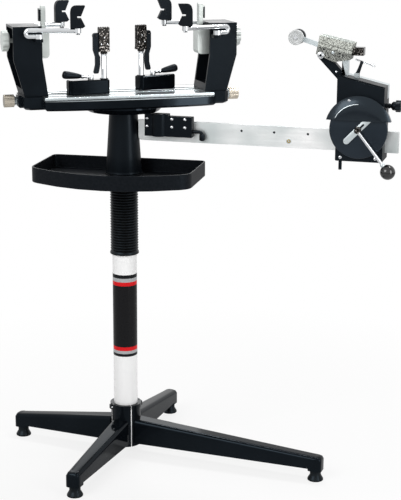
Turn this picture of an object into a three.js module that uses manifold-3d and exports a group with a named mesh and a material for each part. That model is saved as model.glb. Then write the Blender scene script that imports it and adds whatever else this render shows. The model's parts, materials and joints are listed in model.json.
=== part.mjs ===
// Racket stringing machine: a four-leg stand with a telescoping column, a turntable that grips the
// racket frame at six points, two string clamps, and a crank tension head on a rail bar.
// Millimetres, +Z up, X along the rail bar, -Y towards the person who strings.

import * as THREE from "three";
import { mergeVertices } from "three/addons/utils/BufferGeometryUtils.js";
import Module from "manifold-3d";

// Fits that every piece shares
const gap = 0.3;
const overrun = 3;
const weldShare = 1e-4;

// Base: rubber feet, and four castings that clamp the stand tube, each with one leg
const foot = { height: 29.7, topRadius: 15.8, floorRadius: 22.5, lip: 5, neckLength: 14 };
const legReach = { right: 588, back: 346, left: 345, front: 350 };
const legCrossTurn = -4.96;
const leg = {
  bossDrop: 7, rootHeight: 73, endHeight: 36, rootWidth: 54, endWidth: 41, wall: 4, topRound: 11, bossRound: 10,
};
leg.bossBottom = foot.height + gap;
leg.underside = leg.bossBottom + leg.bossDrop;
leg.rootTop = leg.underside + leg.rootHeight;
leg.endTop = leg.underside + leg.endHeight;
const legCrownShares = [[1, 0], [0.3, 0.3], [0, 0.8]];
const hub = { bottom: 27, height: 153, wall: 9, rim: 2, rimHeight: 12, slit: 3 };
hub.top = hub.bottom + hub.height;

// Column: stand tube, inner tube and ribbed boot
const standTube = { radius: 35, wall: 2.7, height: 613, lipLength: 40 };
standTube.top = hub.bottom + standTube.height;
const innerTube = { radius: 29, wall: 2.5, overlap: 260, seatLength: 108 };
innerTube.bottom = standTube.top - innerTube.overlap;
const boot = { overlap: 37, wall: 2, cuff: 12, cuffFlare: 3, ribDepth: 2.2, ribs: 26, sides: 16 };
boot.bottom = standTube.top - boot.overlap;

// Tray and neck
const tray = {
  turn: 3.7, halfWidth: 227, back: 58, frontSide: 156, bow: 76, rise: 198, height: 42, wall: 3.5, floor: 4,
  backCorner: 18, frontCorner: 26, bossRadius: 54, bossHeight: 5,
};
tray.bottom = standTube.top + tray.rise;
const trayShoulderShare = 0.2;
const neck = {
  footRadius: 50.8, footFlare: 53, topRadius: 39.8, height: 177.7, flareHeight: 9, spigotRadius: 35.7,
  spindleRadius: 12, spindleHeight: 40,
};
neck.foot = tray.bottom + tray.floor + tray.bossHeight;
neck.top = neck.foot + neck.height;
const lug = { width: 16, length: 171, height: 42, topDrop: 30.7 };
lug.top = neck.top - lug.topDrop;
lug.bottom = lug.top - lug.height;

// Rail bar, its bracket and the brake lever
const bar = { neckRoom: 6.2, length: 731.5, lugOverhang: 8.6, height: 57.8, thickness: 12, corner: 12, holeRadius: 3 };
bar.start = neck.topRadius + bar.neckRoom;
bar.end = bar.start + bar.length;
bar.bottom = lug.bottom - bar.lugOverhang;
const barHole = { height: 40, offsets: [299, 391, 485] };
const bracket = {
  offset: 26, length: 137, height: 57, rise: 16.6, thickness: 24, tabLength: 68, neckDrop: 1.7,
  bossOffset: 40, bossRadius: 22, bossForward: 10,
};
bracket.start = bar.start + bracket.offset;
bracket.end = bracket.start + bracket.length;
bracket.tabEnd = bracket.start + bracket.tabLength;
bracket.bossX = bracket.start + bracket.bossOffset;
bracket.bottom = bar.bottom + bracket.rise;
bracket.top = bracket.bottom + bracket.height;
bracket.tabTop = neck.top - bracket.neckDrop;
const brake = { rise: 16, rodRadius: 5, rodDepth: 21, gripRadius: 8, gripDrop: 25, bendReach: 27, bend: 10 };
brake.height = bracket.bottom + brake.rise;
brake.rodStart = bracket.end - brake.rodDepth;
brake.bendX = bracket.end + brake.bendReach;
brake.gripBottom = brake.height - brake.gripDrop;

// Turntable: oval casting with a drum below, end blocks, and two slotted tracks on top
const turntableTurn = 33.08;
const deck = {
  halfLength: 300, halfWidth: 118, height: 26, neckRoom: 18.3, edgeDrop: 5, ovalEndWidth: 100, blockLength: 60,
  blockHalfWidth: 68, blockChamfer: 12, noseLength: 9, noseHalfWidth: 18, endWall: 12, grooveLength: 138,
  grooveHalfWidth: 13, grooveFloor: 6, slotHalfWidth: 9,
};
deck.bottom = neck.top + deck.neckRoom;
deck.top = deck.bottom + deck.height;
deck.blockStart = deck.halfLength - deck.blockLength;
deck.grooveEnd = deck.halfLength - deck.endWall;
deck.grooveStart = deck.grooveEnd - deck.grooveLength;
const deckCurveShare = { bulgeX: 0.6, shoulderX: 0.86 };
const drum = { rimWidth: 6, taper: 12, skirt: 5 };
drum.radius = deck.halfWidth - drum.rimWidth;
drum.lowRadius = drum.radius - drum.taper;
const track = {
  thickness: 9, inner: 9, width: 81, slotInset: 21, slotHalfWidth: 6, cavityHalfWidth: 12, flange: 4, web: 1.7,
};
track.top = deck.top + track.thickness;
track.outer = track.inner + track.width;
track.slotCentre = track.inner + track.slotInset;

// Towers on the turntable, and the lead screws that move them
const tower = {
  halfDepth: 55, footInset: 12, footLength: 65, innerLean: 14, outerLean: 28, bendRise: 99.7, headHeight: 89,
  footHeight: 20, plate: 8, innerPocket: 30, outerPocket: 25, pocketTopLip: 6, nutLength: 27, nutHalfWidth: 12.5,
};
tower.foot = track.top + gap;
tower.footOuter = deck.halfLength - tower.footInset;
tower.footInner = tower.footOuter - tower.footLength;
tower.innerFace = tower.footInner + tower.innerLean;
tower.outerFace = tower.footOuter + tower.outerLean;
tower.bendHeight = tower.foot + tower.bendRise;
tower.top = tower.bendHeight + tower.headHeight;
const leadScrew = {
  radius: 6, rise: 19, inset: 10, collarRadius: 11, collarLength: 5, knobRadius: 16.5, knobLength: 32,
  knobStandOff: 6, flutes: 12, fluteDepth: 1.2, stopRadius: 9, stopLength: 3,
};
leadScrew.height = deck.bottom + leadScrew.rise;
leadScrew.start = deck.grooveStart + leadScrew.inset;
leadScrew.knobStart = deck.halfLength + leadScrew.knobStandOff;
leadScrew.knobEnd = leadScrew.knobStart + leadScrew.knobLength;

// Frame arms: bent rods on pins at the tower faces, each with a swivelling V adapter
const arm = {
  pinInset: 13, pinStandOff: 25, swing: 14.6, rodRadius: 6.5, topDrop: 25, hookHeight: 16.5, hookReach: 35,
  length: 103.5, endOverhang: 9, pinRadius: 5, eyeRadius: 10.5, earThickness: 8, earWidth: 22,
};
arm.pinX = tower.innerFace + arm.pinInset;
arm.pinOffset = tower.halfDepth + arm.pinStandOff;
arm.lowerHeight = tower.top - arm.topDrop;
arm.upperHeight = arm.lowerHeight + arm.hookHeight;
const adapter = {
  width: 40, height: 60, thickness: 16, outerCurve: 17, throat: 11, slotDepth: 10, slotHeight: 4.7,
  slotCentre: 29, tipHeight: 5, tipRun: 7, pinRadius: 4, nutRadius: 6, nutHeight: 4,
};
const adapterTurn = { left_front: 4, left_back: 10, right_front: 30, right_back: 14 };

// Inner frame supports and the knobs that close the arms
const support = {
  bodyReach: 26, topDrop: 15, halfWidth: 22, postInset: 7, postDepth: 12, postRise: 53, postHalfWidth: 10,
  padThickness: 6, padHeight: 34, padDrop: 9,
};
support.bodyInner = tower.innerFace - support.bodyReach;
support.bodyBottom = tower.bendHeight;
support.bodyTop = tower.top - support.topDrop;
support.postInner = support.bodyInner + support.postInset;
support.postOuter = support.postInner + support.postDepth;
support.postTop = tower.top + support.postRise;
support.padTop = support.postTop - support.padDrop;
support.padBottom = support.padTop - support.padHeight;
const armKnob = {
  topDrop: 41, radius: 28.5, length: 26, lobes: 10, lobeDepth: 2.6, shaftRadius: 6, hubRadius: 12, hubLength: 2,
};
armKnob.height = tower.top - armKnob.topDrop;
armKnob.start = tower.outerFace + armKnob.hubLength;
armKnob.end = armKnob.start + armKnob.length;

// String clamps: a shoe in the track, a swinging base with a lock lever, a post and a toothed head
const clamp = {
  pivotX: { left: -99.5, right: 94 }, baseTurn: { left: 6, right: 17 }, baseLength: 118, baseHalfWidth: 19,
  baseHeight: 39.4, baseRound: 9, baseBevel: 3, postToLock: 39, postToEnd: 12, shoeLength: 60, shoePin: 9,
  shoePinHeight: 18, collarRadius: 11.5, collarHeight: 2, wellFloor: 3.4,
};
clamp.baseBottom = track.top + 2 * gap;
clamp.baseTop = clamp.baseBottom + clamp.baseHeight;
clamp.shoePinTop = track.top + clamp.shoePinHeight;
clamp.wellBottom = clamp.baseBottom + clamp.wellFloor;
const lock = {
  hubRadius: 8, hubHeight: 12, studRadius: 5, studDepth: 14, armHalfWidth: 5, armHeight: 8, gripStart: 27,
  gripLength: 54, gripHalfWidth: 9, gripLow: 4, gripRootHigh: 13, gripEndHigh: 27,
};
lock.gripEnd = lock.gripStart + lock.gripLength;
const lockGripShares = [
  [0, 0.5, 0.7], [0.1, 0.75, 0.95], [0.5, 1, 1], [0.85, 1.15, 1], [0.96, 0.95, 0.8], [1, 0.5, 0.4],
];
const post = { radius: 7.8, rise: 69, seat: 19 };
post.bottom = clamp.wellBottom + post.seat;
post.top = clamp.baseTop + post.rise;
const jawHead = {
  halfWidth: 15, neckHeight: 5, blockHeight: 12, plateHeight: 45, toothHeight: 16, toothPoint: 2.5, teeth: 5,
  jawThickness: 6.3, jawGap: 1.2, blockDepth: 9, neckRadius: 10, earThickness: 3.2, earDrop: 20,
  spigotRadius: 4, spigotDepth: 12, leverPin: 2.5,
};
jawHead.blockTop = post.top + jawHead.blockHeight;
jawHead.toothRoot = jawHead.blockTop + jawHead.plateHeight;
jawHead.toothTop = jawHead.toothRoot + jawHead.toothHeight;
const toothWidthShare = 0.52;
const jawLever = {
  headRadius: 8, headRoom: 0.6, topDrop: 8, headLength: 38, shoulder: 8, shankLength: 44, length: 104, width: 14,
  inset: 4, kick: 5, halfThickness: 3.6,
};
jawLever.pinX = jawHead.halfWidth + jawLever.headRadius + jawLever.headRoom;
jawLever.pinZ = jawHead.toothRoot - jawLever.topDrop;
jawLever.headBottom = jawLever.pinZ - jawLever.headLength;
jawLever.shankTop = post.top - gap - jawLever.shoulder;
jawLever.kickTop = jawLever.shankTop - jawLever.shankLength / 2;
jawLever.bottom = jawLever.pinZ - jawLever.length;

// Tension head that rides on the bar
const headBody = {
  endInset: 163.5, width: 127, barDrop: 19.4, leftHeight: 228, rightHeight: 199, front: -40, back: 42,
  barGap: 0.4,
};
headBody.left = bar.end - headBody.endInset;
headBody.right = headBody.left + headBody.width;
headBody.bottom = bar.bottom - headBody.barDrop;
headBody.topLeft = headBody.bottom + headBody.leftHeight;
headBody.topRight = headBody.bottom + headBody.rightHeight;
const cover = { thickness: 4.7, inset: 3, drop: 2, corner: 4 };
cover.bottom = headBody.bottom - cover.drop;
const strut = { inset: 6, width: 16, halfWidth: 12 };
strut.left = headBody.left + strut.inset;
strut.right = strut.left + strut.width;
const peg = { inset: 12, y: -30, radius: 4.7, length: 28 };
peg.x = headBody.left + peg.inset;
peg.bottom = headBody.bottom - peg.length;
const winder = {
  inset: 62, rise: 86, discRadius: 78, discThickness: 11.7, discEdge: 2, shaftRadius: 8, shaftDepth: 22,
};
winder.x = headBody.left + winder.inset;
winder.z = headBody.bottom + winder.rise;
const guard = { radius: 90, chordUp: 24, faceRadius: 70, depth: 26, rimDepth: 18, wall: 3.4 };
guard.front = headBody.front - guard.depth;
guard.rimFront = headBody.front - guard.rimDepth;
const crank = {
  plateWidth: 17, plateLow: 52, plateHigh: 62, plateThickness: 3.6, plateTurn: 46, hubRadius: 9, hubReach: 14,
  rodInset: 6, rodRadius: 4.3, rodReach: 136, rodTurn: -51.3, ballRadius: 20, ballSocket: 9,
};
crank.hubFront = guard.front - crank.hubReach;
crank.rodY = crank.hubFront + crank.rodInset;
const dial = {
  y: -10, rise: 147, stemRadius: 7, standOff: 16, headLength: 24, radius: 16, lobes: 6, lobeDepth: 2.4,
  shaftRadius: 4, shaftDepth: 14,
};
dial.z = headBody.bottom + dial.rise;
dial.headStart = headBody.right + dial.standOff;
dial.headEnd = dial.headStart + dial.headLength;
const yoke = { reach: 50, rise: 48, rootInset: 8, rootDrop: 12, halfThickness: 12, width: 24, pinRadius: 6 };
yoke.x = headBody.left - yoke.reach;
yoke.z = headBody.topLeft + yoke.rise;
yoke.rootX = headBody.left + yoke.rootInset;
yoke.rootZ = headBody.topLeft - yoke.rootDrop;
const gripperPoints = {
  topLeft: [-4, 53], topRight: [88, 33], bottomRight: [79, -10], bottomLeft: [36, -17], heel: [-13, 3],
};
const gripper = {
  halfWidth: 25, jawGap: 1.2, jawHeight: 20, blockReach: 76, blockLength: 37, blockTopRise: 22, blockBottomRise: 1,
  blockHalfWidth: 14, yokeClearance: 2.5, pinOverhang: 2,
};
for (const [name, [along, up]] of Object.entries(gripperPoints)) gripper[name] = [yoke.x + along, yoke.z + up];
gripper.blockStart = yoke.x + gripper.blockReach;
gripper.blockEnd = gripper.blockStart + gripper.blockLength;
gripper.blockTop = yoke.z + gripper.blockTopRise;
gripper.blockBottom = yoke.z + gripper.blockBottomRise;
const roller = {
  reach: 70, rise: 44, radius: 20, halfLength: 24, armHalfThickness: 3, armWidth: 13, axleRadius: 5, eyeWall: 4,
  rootReach: 8, rootRise: 19,
};
roller.x = yoke.x - roller.reach;
roller.z = yoke.z + roller.rise;
roller.rootX = yoke.x + roller.rootReach;
roller.rootZ = yoke.z + roller.rootRise;
const trip = {
  inset: 45, topReach: 13, topRise: 37.83, bodyRadius: 5, rodRadius: 2.2, rodStartBack: 18, rodStartRise: 3.6,
  rodEndReach: 31, rodEndDrop: 11, loopRadius: 4.5, pinRadius: 2, earThickness: 3.5, earHalfWidth: 6,
};
trip.pivotX = headBody.left + trip.inset;
trip.pivotZ = headTopAt(trip.pivotX - trip.bodyRadius) + trip.bodyRadius + gap;
trip.topX = trip.pivotX + trip.topReach;
trip.topZ = trip.pivotZ + trip.topRise;
trip.rodStart = [trip.topX - trip.rodStartBack, trip.topZ + trip.rodStartRise];
trip.rodEnd = [trip.topX + trip.rodEndReach, trip.topZ - trip.rodEndDrop];
const tripLoopShare = 0.8;

const sides = { large: 32, medium: 24, small: 16, fine: 12, pipe: 8 };

// Geometry tools
const wasm = await Module();
wasm.setup();
const radians = THREE.MathUtils.degToRad;

// Positions only, welded, without flat triangles, facing out
function closedBody(source) {
  const geometry = source.clone();
  geometry.deleteAttribute("normal");
  geometry.deleteAttribute("uv");
  const welded = mergeVertices(geometry, weldShare);
  const index = welded.getIndex().array;
  const kept = [];
  for (let at = 0; at < index.length; at += 3) {
    const corners = [index[at], index[at + 1], index[at + 2]];
    if (new Set(corners).size === 3) kept.push(corners);
  }
  const position = welded.getAttribute("position");
  const [a, b, c] = [new THREE.Vector3(), new THREE.Vector3(), new THREE.Vector3()];
  const volume = kept.reduce((sum, [i, j, k]) => {
    a.fromBufferAttribute(position, i);
    b.fromBufferAttribute(position, j);
    c.fromBufferAttribute(position, k);
    return sum + a.dot(b.cross(c));
  }, 0);
  welded.setIndex(kept.flatMap(([i, j, k]) => (volume < 0 ? [i, k, j] : [i, j, k])));
  return welded;
}

function asSolid(shape) {
  if (!shape.isBufferGeometry) return shape;
  const body = closedBody(shape);
  return new wasm.Manifold(new wasm.Mesh({
    numProp: 3,
    vertProperties: new Float32Array(body.getAttribute("position").array),
    triVerts: new Uint32Array(body.getIndex().array),
  }));
}

function join(first, ...rest) {
  return rest.reduce((sum, shape) => sum.add(asSolid(shape)), asSolid(first));
}

function cut(first, ...rest) {
  return rest.reduce((left, shape) => left.subtract(asSolid(shape)), asSolid(first));
}

function common(first, second) {
  return asSolid(first).intersect(asSolid(second));
}

function geometryOf(shape) {
  if (shape.isBufferGeometry) return closedBody(shape);
  const mesh = shape.getMesh();
  const geometry = new THREE.BufferGeometry();
  geometry.setAttribute("position", new THREE.BufferAttribute(mesh.vertProperties, 3));
  geometry.setIndex(new THREE.BufferAttribute(mesh.triVerts, 1));
  return geometry;
}

function place(shape, x, y, z) {
  return asSolid(shape).translate([x, y, z]);
}

function mirrored(solid, side) {
  return side > 0 ? solid : solid.mirror([1, 0, 0]);
}

function block([x0, x1], [y0, y1], [z0, z1]) {
  const geometry = new THREE.BoxGeometry(Math.abs(x1 - x0), Math.abs(y1 - y0), Math.abs(z1 - z0));
  return geometry.translate((x0 + x1) / 2, (y0 + y1) / 2, (z0 + z1) / 2);
}

// A revolved profile of [radius, distance along the axis] points, closed on the axis or on itself
function revolve(profile, count, axis = "z") {
  const points = profile.map(([radius, along]) => new THREE.Vector2(radius, along));
  const onAxis = profile[0][0] === 0 && profile[profile.length - 1][0] === 0;
  if (!onAxis) points.push(points[0].clone());
  const geometry = new THREE.LatheGeometry(points, count);
  if (axis === "z") geometry.rotateX(Math.PI / 2);
  if (axis === "x") geometry.rotateZ(-Math.PI / 2);
  return geometry;
}

function cylinder(radius, from, to, count, axis = "z") {
  return revolve([[0, from], [radius, from], [radius, to], [0, to]], count, axis);
}

// A hole that a shaft of the same radius runs in, whatever way its flats are turned
function boreRadius(shaftRadius, count) {
  return (shaftRadius + gap) / Math.cos(Math.PI / count);
}

function outline(points) {
  return new THREE.Shape(points.map(([x, y]) => new THREE.Vector2(x, y)));
}

// A flat outline given depth along the axis square to its plane
function slab(shape, plane, from, to, curveSegments = 6) {
  const options = { depth: to - from, bevelEnabled: false, curveSegments };
  const geometry = new THREE.ExtrudeGeometry(shape, options);
  if (plane === "xy") return geometry.translate(0, 0, from);
  if (plane === "xz") return geometry.rotateX(Math.PI / 2).translate(0, to, 0);
  const yzBasis = new THREE.Matrix4().makeBasis(
    new THREE.Vector3(0, 1, 0), new THREE.Vector3(0, 0, 1), new THREE.Vector3(1, 0, 0));
  return geometry.applyMatrix4(yzBasis).translate(from, 0, 0);
}

// Rings of equal count joined into a closed skin; flat is one ring laid out in its plane
function loft(rings, flat) {
  const count = flat.length;
  const position = rings.flat().flatMap((point) => [point.x, point.y, point.z]);
  const index = [];
  for (let ring = 0; ring + 1 < rings.length; ring += 1) {
    for (let at = 0; at < count; at += 1) {
      const [a, b] = [ring * count + at, ring * count + ((at + 1) % count)];
      index.push(a, b, b + count, a, b + count, a + count);
    }
  }
  const caps = THREE.ShapeUtils.triangulateShape(flat, []);
  const capArea = THREE.ShapeUtils.area(caps[0].map((corner) => flat[corner]));
  const follows = capArea * THREE.ShapeUtils.area(flat) > 0;
  const last = (rings.length - 1) * count;
  for (const [i, j, k] of caps) {
    index.push(...(follows ? [i, k, j] : [i, j, k]));
    index.push(...(follows ? [last + i, last + j, last + k] : [last + i, last + k, last + j]));
  }
  const geometry = new THREE.BufferGeometry();
  geometry.setAttribute("position", new THREE.Float32BufferAttribute(position, 3));
  geometry.setIndex(index);
  return geometry;
}

// A round rod along points that lie in one plane; normal is square to that plane
function bentRod(points, normal, radius, count = sides.pipe) {
  const turns = Array.from({ length: count }, (unused, at) => (2 * Math.PI * at) / count);
  const runs = points.slice(1).map((point, at) => point.clone().sub(points[at]).normalize());
  const rings = points.map((point, at) => {
    const ahead = runs[Math.min(at, runs.length - 1)];
    const behind = runs[Math.max(at - 1, 0)];
    const across = ahead.clone().add(behind).normalize().cross(normal);
    return turns.map((turn) => point.clone()
      .addScaledVector(normal, radius * Math.cos(turn))
      .addScaledVector(across, radius * Math.sin(turn)));
  });
  return loft(rings, turns.map((turn) => new THREE.Vector2(Math.cos(turn), Math.sin(turn))));
}

function arcPoints(centreX, centreY, radius, fromTurn, toTurn, steps) {
  return Array.from({ length: steps + 1 }, (unused, at) => {
    const turn = fromTurn + ((toTurn - fromTurn) * at) / steps;
    return [centreX + radius * Math.cos(turn), centreY + radius * Math.sin(turn)];
  });
}

// A round outline whose radius swells and shrinks along its lobes
function lobedOutline(radius, depth, lobes, pointsPerLobe = 6) {
  const count = lobes * pointsPerLobe;
  return outline(Array.from({ length: count }, (unused, at) => {
    const turn = (2 * Math.PI * at) / count;
    const reach = radius - (depth * (1 - Math.cos(lobes * turn))) / 2;
    return [reach * Math.cos(turn), reach * Math.sin(turn)];
  }));
}

// A piece: one mesh with its own material
function piece(name, shape, color, roughness, metalness) {
  const geometry = geometryOf(shape).toNonIndexed();
  geometry.computeVertexNormals();
  const mesh = new THREE.Mesh(geometry, new THREE.MeshStandardMaterial({ color, roughness, metalness }));
  mesh.name = name;
  return mesh;
}

const blackPaint = (name, shape) => piece(name, shape, 0x15171b, 0.45, 0.1);
const blackPlastic = (name, shape) => piece(name, shape, 0x1a1b1d, 0.6, 0);
const rubber = (name, shape) => piece(name, shape, 0x141414, 0.9, 0);
const chrome = (name, shape) => piece(name, shape, 0xd5d8da, 0.18, 1);
const castAlloy = (name, shape) => piece(name, shape, 0xb9bdbd, 0.5, 0.8);
const brushedSteel = (name, shape) => piece(name, shape, 0xc3c8c9, 0.35, 0.9);

const machine = new THREE.Group();

// Base: leg castings with a quarter of the hub each, and rubber feet
function legSection(along, reach) {
  const share = (along - standTube.radius) / (reach - standTube.radius);
  const halfWidth = (leg.rootWidth + (leg.endWidth - leg.rootWidth) * share) / 2;
  const top = leg.rootTop + (leg.endTop - leg.rootTop) * share;
  const skin = (inset) => {
    const half = halfWidth - inset;
    const round = leg.topRound - inset;
    return [
      [-half, leg.underside],
      ...arcPoints(round - half, top - leg.topRound, round, Math.PI, Math.PI / 2, 3),
      ...arcPoints(half - round, top - leg.topRound, round, Math.PI / 2, 0, 3),
      [half, leg.underside],
    ];
  };
  return [...skin(0), ...skin(leg.wall).reverse()].map(([y, z]) => new THREE.Vector3(along, y, z));
}

function hubQuarter(outer, from, to) {
  const inner = boreRadius(standTube.radius, sides.medium);
  const half = Math.PI / 4 - Math.asin(hub.slit / 2 / outer);
  const shape = new THREE.Shape();
  shape.absarc(0, 0, outer, -half, half, false);
  shape.absarc(0, 0, inner, half, -half, true);
  return slab(shape, "xy", from, to);
}

// The squared boss over the foot
function legEnd(reach) {
  const half = leg.endWidth / 2;
  const pointsAt = (inset) => roundedPoints(
    [reach - half + inset, reach + half - inset], [-half + inset, half - inset], leg.bossRound);
  const crown = legCrownShares.map(([drop, inset]) => [leg.endTop - leg.topRound * drop, leg.topRound * inset]);
  return stack(pointsAt, [[leg.bossBottom, 0], ...crown]);
}

function legCasting(name) {
  const reach = legReach[name];
  const rootAlong = standTube.radius + hub.wall / 2;
  const rings = [rootAlong, reach].map((along) => legSection(along, reach));
  const flat = rings[0].map((point) => new THREE.Vector2(point.y, point.z));
  const hubRadius = standTube.radius + hub.wall;
  const shell = hubQuarter(hubRadius, hub.bottom, hub.top);
  const rim = hubQuarter(hubRadius + hub.rim, hub.top - hub.rimHeight, hub.top);
  return join(loft(rings, flat), legEnd(reach), shell, rim);
}

function footShape() {
  return revolve([
    [0, 0], [foot.floorRadius, 0], [foot.floorRadius, foot.lip], [foot.topRadius, foot.height - foot.neckLength],
    [foot.topRadius, foot.height], [0, foot.height],
  ], sides.small);
}

function addBase() {
  Object.keys(legReach).forEach((name, quarter) => {
    const bearing = new THREE.Group();
    bearing.rotation.z = radians(legCrossTurn) + (quarter * Math.PI) / 2;
    bearing.add(blackPaint(`leg_${name}`, legCasting(name)));
    const pad = rubber(`foot_${name}`, footShape());
    pad.position.x = legReach[name];
    bearing.add(pad);
    machine.add(bearing);
  });
}

// Column: white stand tube with a guide lip, the inner tube and the ribbed boot over the joint
function standTubeShape() {
  const bore = standTube.radius - standTube.wall;
  const lip = innerTube.radius + gap;
  const lipBottom = standTube.top - standTube.lipLength;
  return revolve([
    [bore, hub.bottom], [standTube.radius, hub.bottom], [standTube.radius, standTube.top],
    [lip, standTube.top], [lip, lipBottom], [bore, lipBottom - standTube.wall],
  ], sides.large);
}

function innerTubeShape() {
  const bore = innerTube.radius - innerTube.wall;
  const top = neck.foot + innerTube.seatLength;
  return revolve([
    [bore, innerTube.bottom], [innerTube.radius, innerTube.bottom], [innerTube.radius, top], [bore, top],
  ], sides.medium);
}

function bootShape() {
  const bore = boreRadius(standTube.radius, boot.sides);
  const valley = bore + boot.wall;
  const crest = valley + boot.ribDepth;
  const top = tray.bottom - gap;
  const from = boot.bottom + boot.cuff;
  const pitch = (top - boot.cuff - from) / boot.ribs;
  const ribs = Array.from({ length: boot.ribs }, (unused, at) => [
    [valley, from + at * pitch],
    [crest, from + (at + 0.5) * pitch],
  ]).flat();
  return revolve([
    [bore, boot.bottom], [crest + boot.cuffFlare, boot.bottom], [crest, from - boot.cuffFlare], ...ribs,
    [valley, top - boot.cuff], [crest, top - boot.cuff / 2], [crest, top], [bore, top],
  ], boot.sides);
}

function addColumn() {
  machine.add(piece("stand_tube", standTubeShape(), 0xf2f2f0, 0.3, 0));
  machine.add(brushedSteel("inner_tube", innerTubeShape()));
  machine.add(rubber("column_boot", bootShape()));
}

// Tool tray: a bowed open pan round the foot of the neck
function trayOutline(inset) {
  const half = tray.halfWidth - inset;
  const back = tray.back - inset;
  const front = -tray.frontSide + inset;
  const shoulder = front - tray.bow * trayShoulderShare;
  const pull = 2 * (front - tray.bow) - shoulder;
  const shape = new THREE.Shape();
  shape.moveTo(half - tray.backCorner, back);
  shape.lineTo(-half + tray.backCorner, back);
  shape.quadraticCurveTo(-half, back, -half, back - tray.backCorner);
  shape.lineTo(-half, front + tray.frontCorner);
  shape.quadraticCurveTo(-half, front, -half + tray.frontCorner, shoulder);
  shape.quadraticCurveTo(0, pull, half - tray.frontCorner, shoulder);
  shape.quadraticCurveTo(half, front, half, front + tray.frontCorner);
  shape.lineTo(half, back - tray.backCorner);
  shape.quadraticCurveTo(half, back, half - tray.backCorner, back);
  return shape;
}

function trayShape() {
  const top = tray.bottom + tray.height;
  const pan = cut(
    slab(trayOutline(0), "xy", tray.bottom, top),
    slab(trayOutline(tray.wall), "xy", tray.bottom + tray.floor, top + overrun),
  );
  const boss = cylinder(tray.bossRadius, tray.bottom + tray.floor / 2, neck.foot - gap, sides.medium);
  const hole = boreRadius(neck.spigotRadius, sides.medium);
  return cut(join(pan, boss), cylinder(hole, tray.bottom - overrun, neck.foot + overrun, sides.medium));
}

// Neck: a hollow cone on the tray, with the turntable spindle on top and a lug behind the bar
function neckShape() {
  const bore = innerTube.radius + gap;
  const boreTop = neck.foot + innerTube.seatLength + gap;
  const cone = revolve([
    [0, boreTop], [bore, boreTop], [bore, tray.bottom], [neck.spigotRadius, tray.bottom],
    [neck.spigotRadius, neck.foot], [neck.footFlare, neck.foot],
    [neck.footFlare, neck.foot + neck.flareHeight / 3], [neck.footRadius, neck.foot + neck.flareHeight],
    [neck.topRadius, neck.top], [neck.spindleRadius, neck.top],
    [neck.spindleRadius, neck.top + neck.spindleHeight], [0, neck.top + neck.spindleHeight],
  ], sides.large);
  const lugRoot = innerTube.radius + innerTube.wall;
  const lugFront = bar.thickness / 2 + gap;
  const arm = block([lugRoot, lugRoot + lug.length], [lugFront, lugFront + lug.width], [lug.bottom, lug.top]);
  return join(cone, arm);
}

function addTrayAndNeck() {
  const pan = blackPaint("tool_tray", trayShape());
  pan.rotation.z = radians(tray.turn);
  machine.add(pan, blackPaint("neck", neckShape()));
}

// Rail bar with its rounded inner corner and three plain holes
function barShape() {
  const shape = new THREE.Shape();
  const top = bar.bottom + bar.height;
  shape.moveTo(bar.start + bar.corner, bar.bottom);
  shape.lineTo(bar.end, bar.bottom);
  shape.lineTo(bar.end, top);
  shape.lineTo(bar.start, top);
  shape.lineTo(bar.start, bar.bottom + bar.corner);
  shape.quadraticCurveTo(bar.start, bar.bottom, bar.start + bar.corner, bar.bottom);
  for (const offset of barHole.offsets) {
    const hole = new THREE.Path();
    hole.absarc(bar.start + offset, bar.bottom + barHole.height, bar.holeRadius, 0, 2 * Math.PI, true);
    shape.holes.push(hole);
  }
  return slab(shape, "xz", -bar.thickness / 2, bar.thickness / 2);
}

// Bracket in front of the bar: plate, a tab up to the drum and the brake cylinder
function bracketShape() {
  const back = -bar.thickness / 2 - gap;
  const front = back - bracket.thickness;
  const centreY = front + bracket.bossRadius - bracket.bossForward;
  const plate = block([bracket.start, bracket.end], [front, back], [bracket.bottom, bracket.top]);
  const tab = block([bracket.start, bracket.tabEnd], [front, back], [bracket.top - overrun, bracket.tabTop]);
  const boss = cylinder(bracket.bossRadius, bracket.bottom, bracket.tabTop, sides.medium)
    .translate(bracket.bossX, centreY, 0);
  const behind = block(
    [bracket.start, bracket.end], [back, back + 2 * bracket.bossRadius],
    [bracket.bottom - overrun, bracket.tabTop + overrun]);
  const bore = cylinder(
    boreRadius(brake.rodRadius, sides.pipe), brake.rodStart - gap, bracket.end + overrun, sides.pipe, "x")
    .translate(0, brakeDepth(), brake.height);
  return cut(join(plate, tab, boss), behind, bore);
}

function brakeDepth() {
  return -bar.thickness / 2 - gap - bracket.thickness / 2;
}

function brakeLeverShape() {
  const bendStart = brake.bendX - brake.bend;
  const arc = arcPoints(bendStart, brake.height - brake.bend, brake.bend, Math.PI / 2, 0, 3);
  const path = [[brake.rodStart, brake.height], ...arc, [brake.bendX, brake.gripBottom + brake.rodRadius]]
    .map(([x, z]) => new THREE.Vector3(x, brakeDepth(), z));
  const rod = bentRod(path, new THREE.Vector3(0, 1, 0), brake.rodRadius);
  const gripTop = brake.height - brake.bend / 2;
  const grip = revolve([
    [0, brake.gripBottom], [brake.gripRadius - brake.rodRadius / 2, brake.gripBottom],
    [brake.gripRadius, brake.gripBottom + brake.rodRadius / 2], [brake.gripRadius, gripTop], [0, gripTop],
  ], sides.fine).translate(brake.bendX, brakeDepth(), 0);
  return join(rod, grip);
}

function addBar() {
  machine.add(brushedSteel("rail_bar", barShape()));
  machine.add(blackPaint("bar_bracket", bracketShape()));
  machine.add(blackPlastic("brake_lever", brakeLeverShape()));
}

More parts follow.
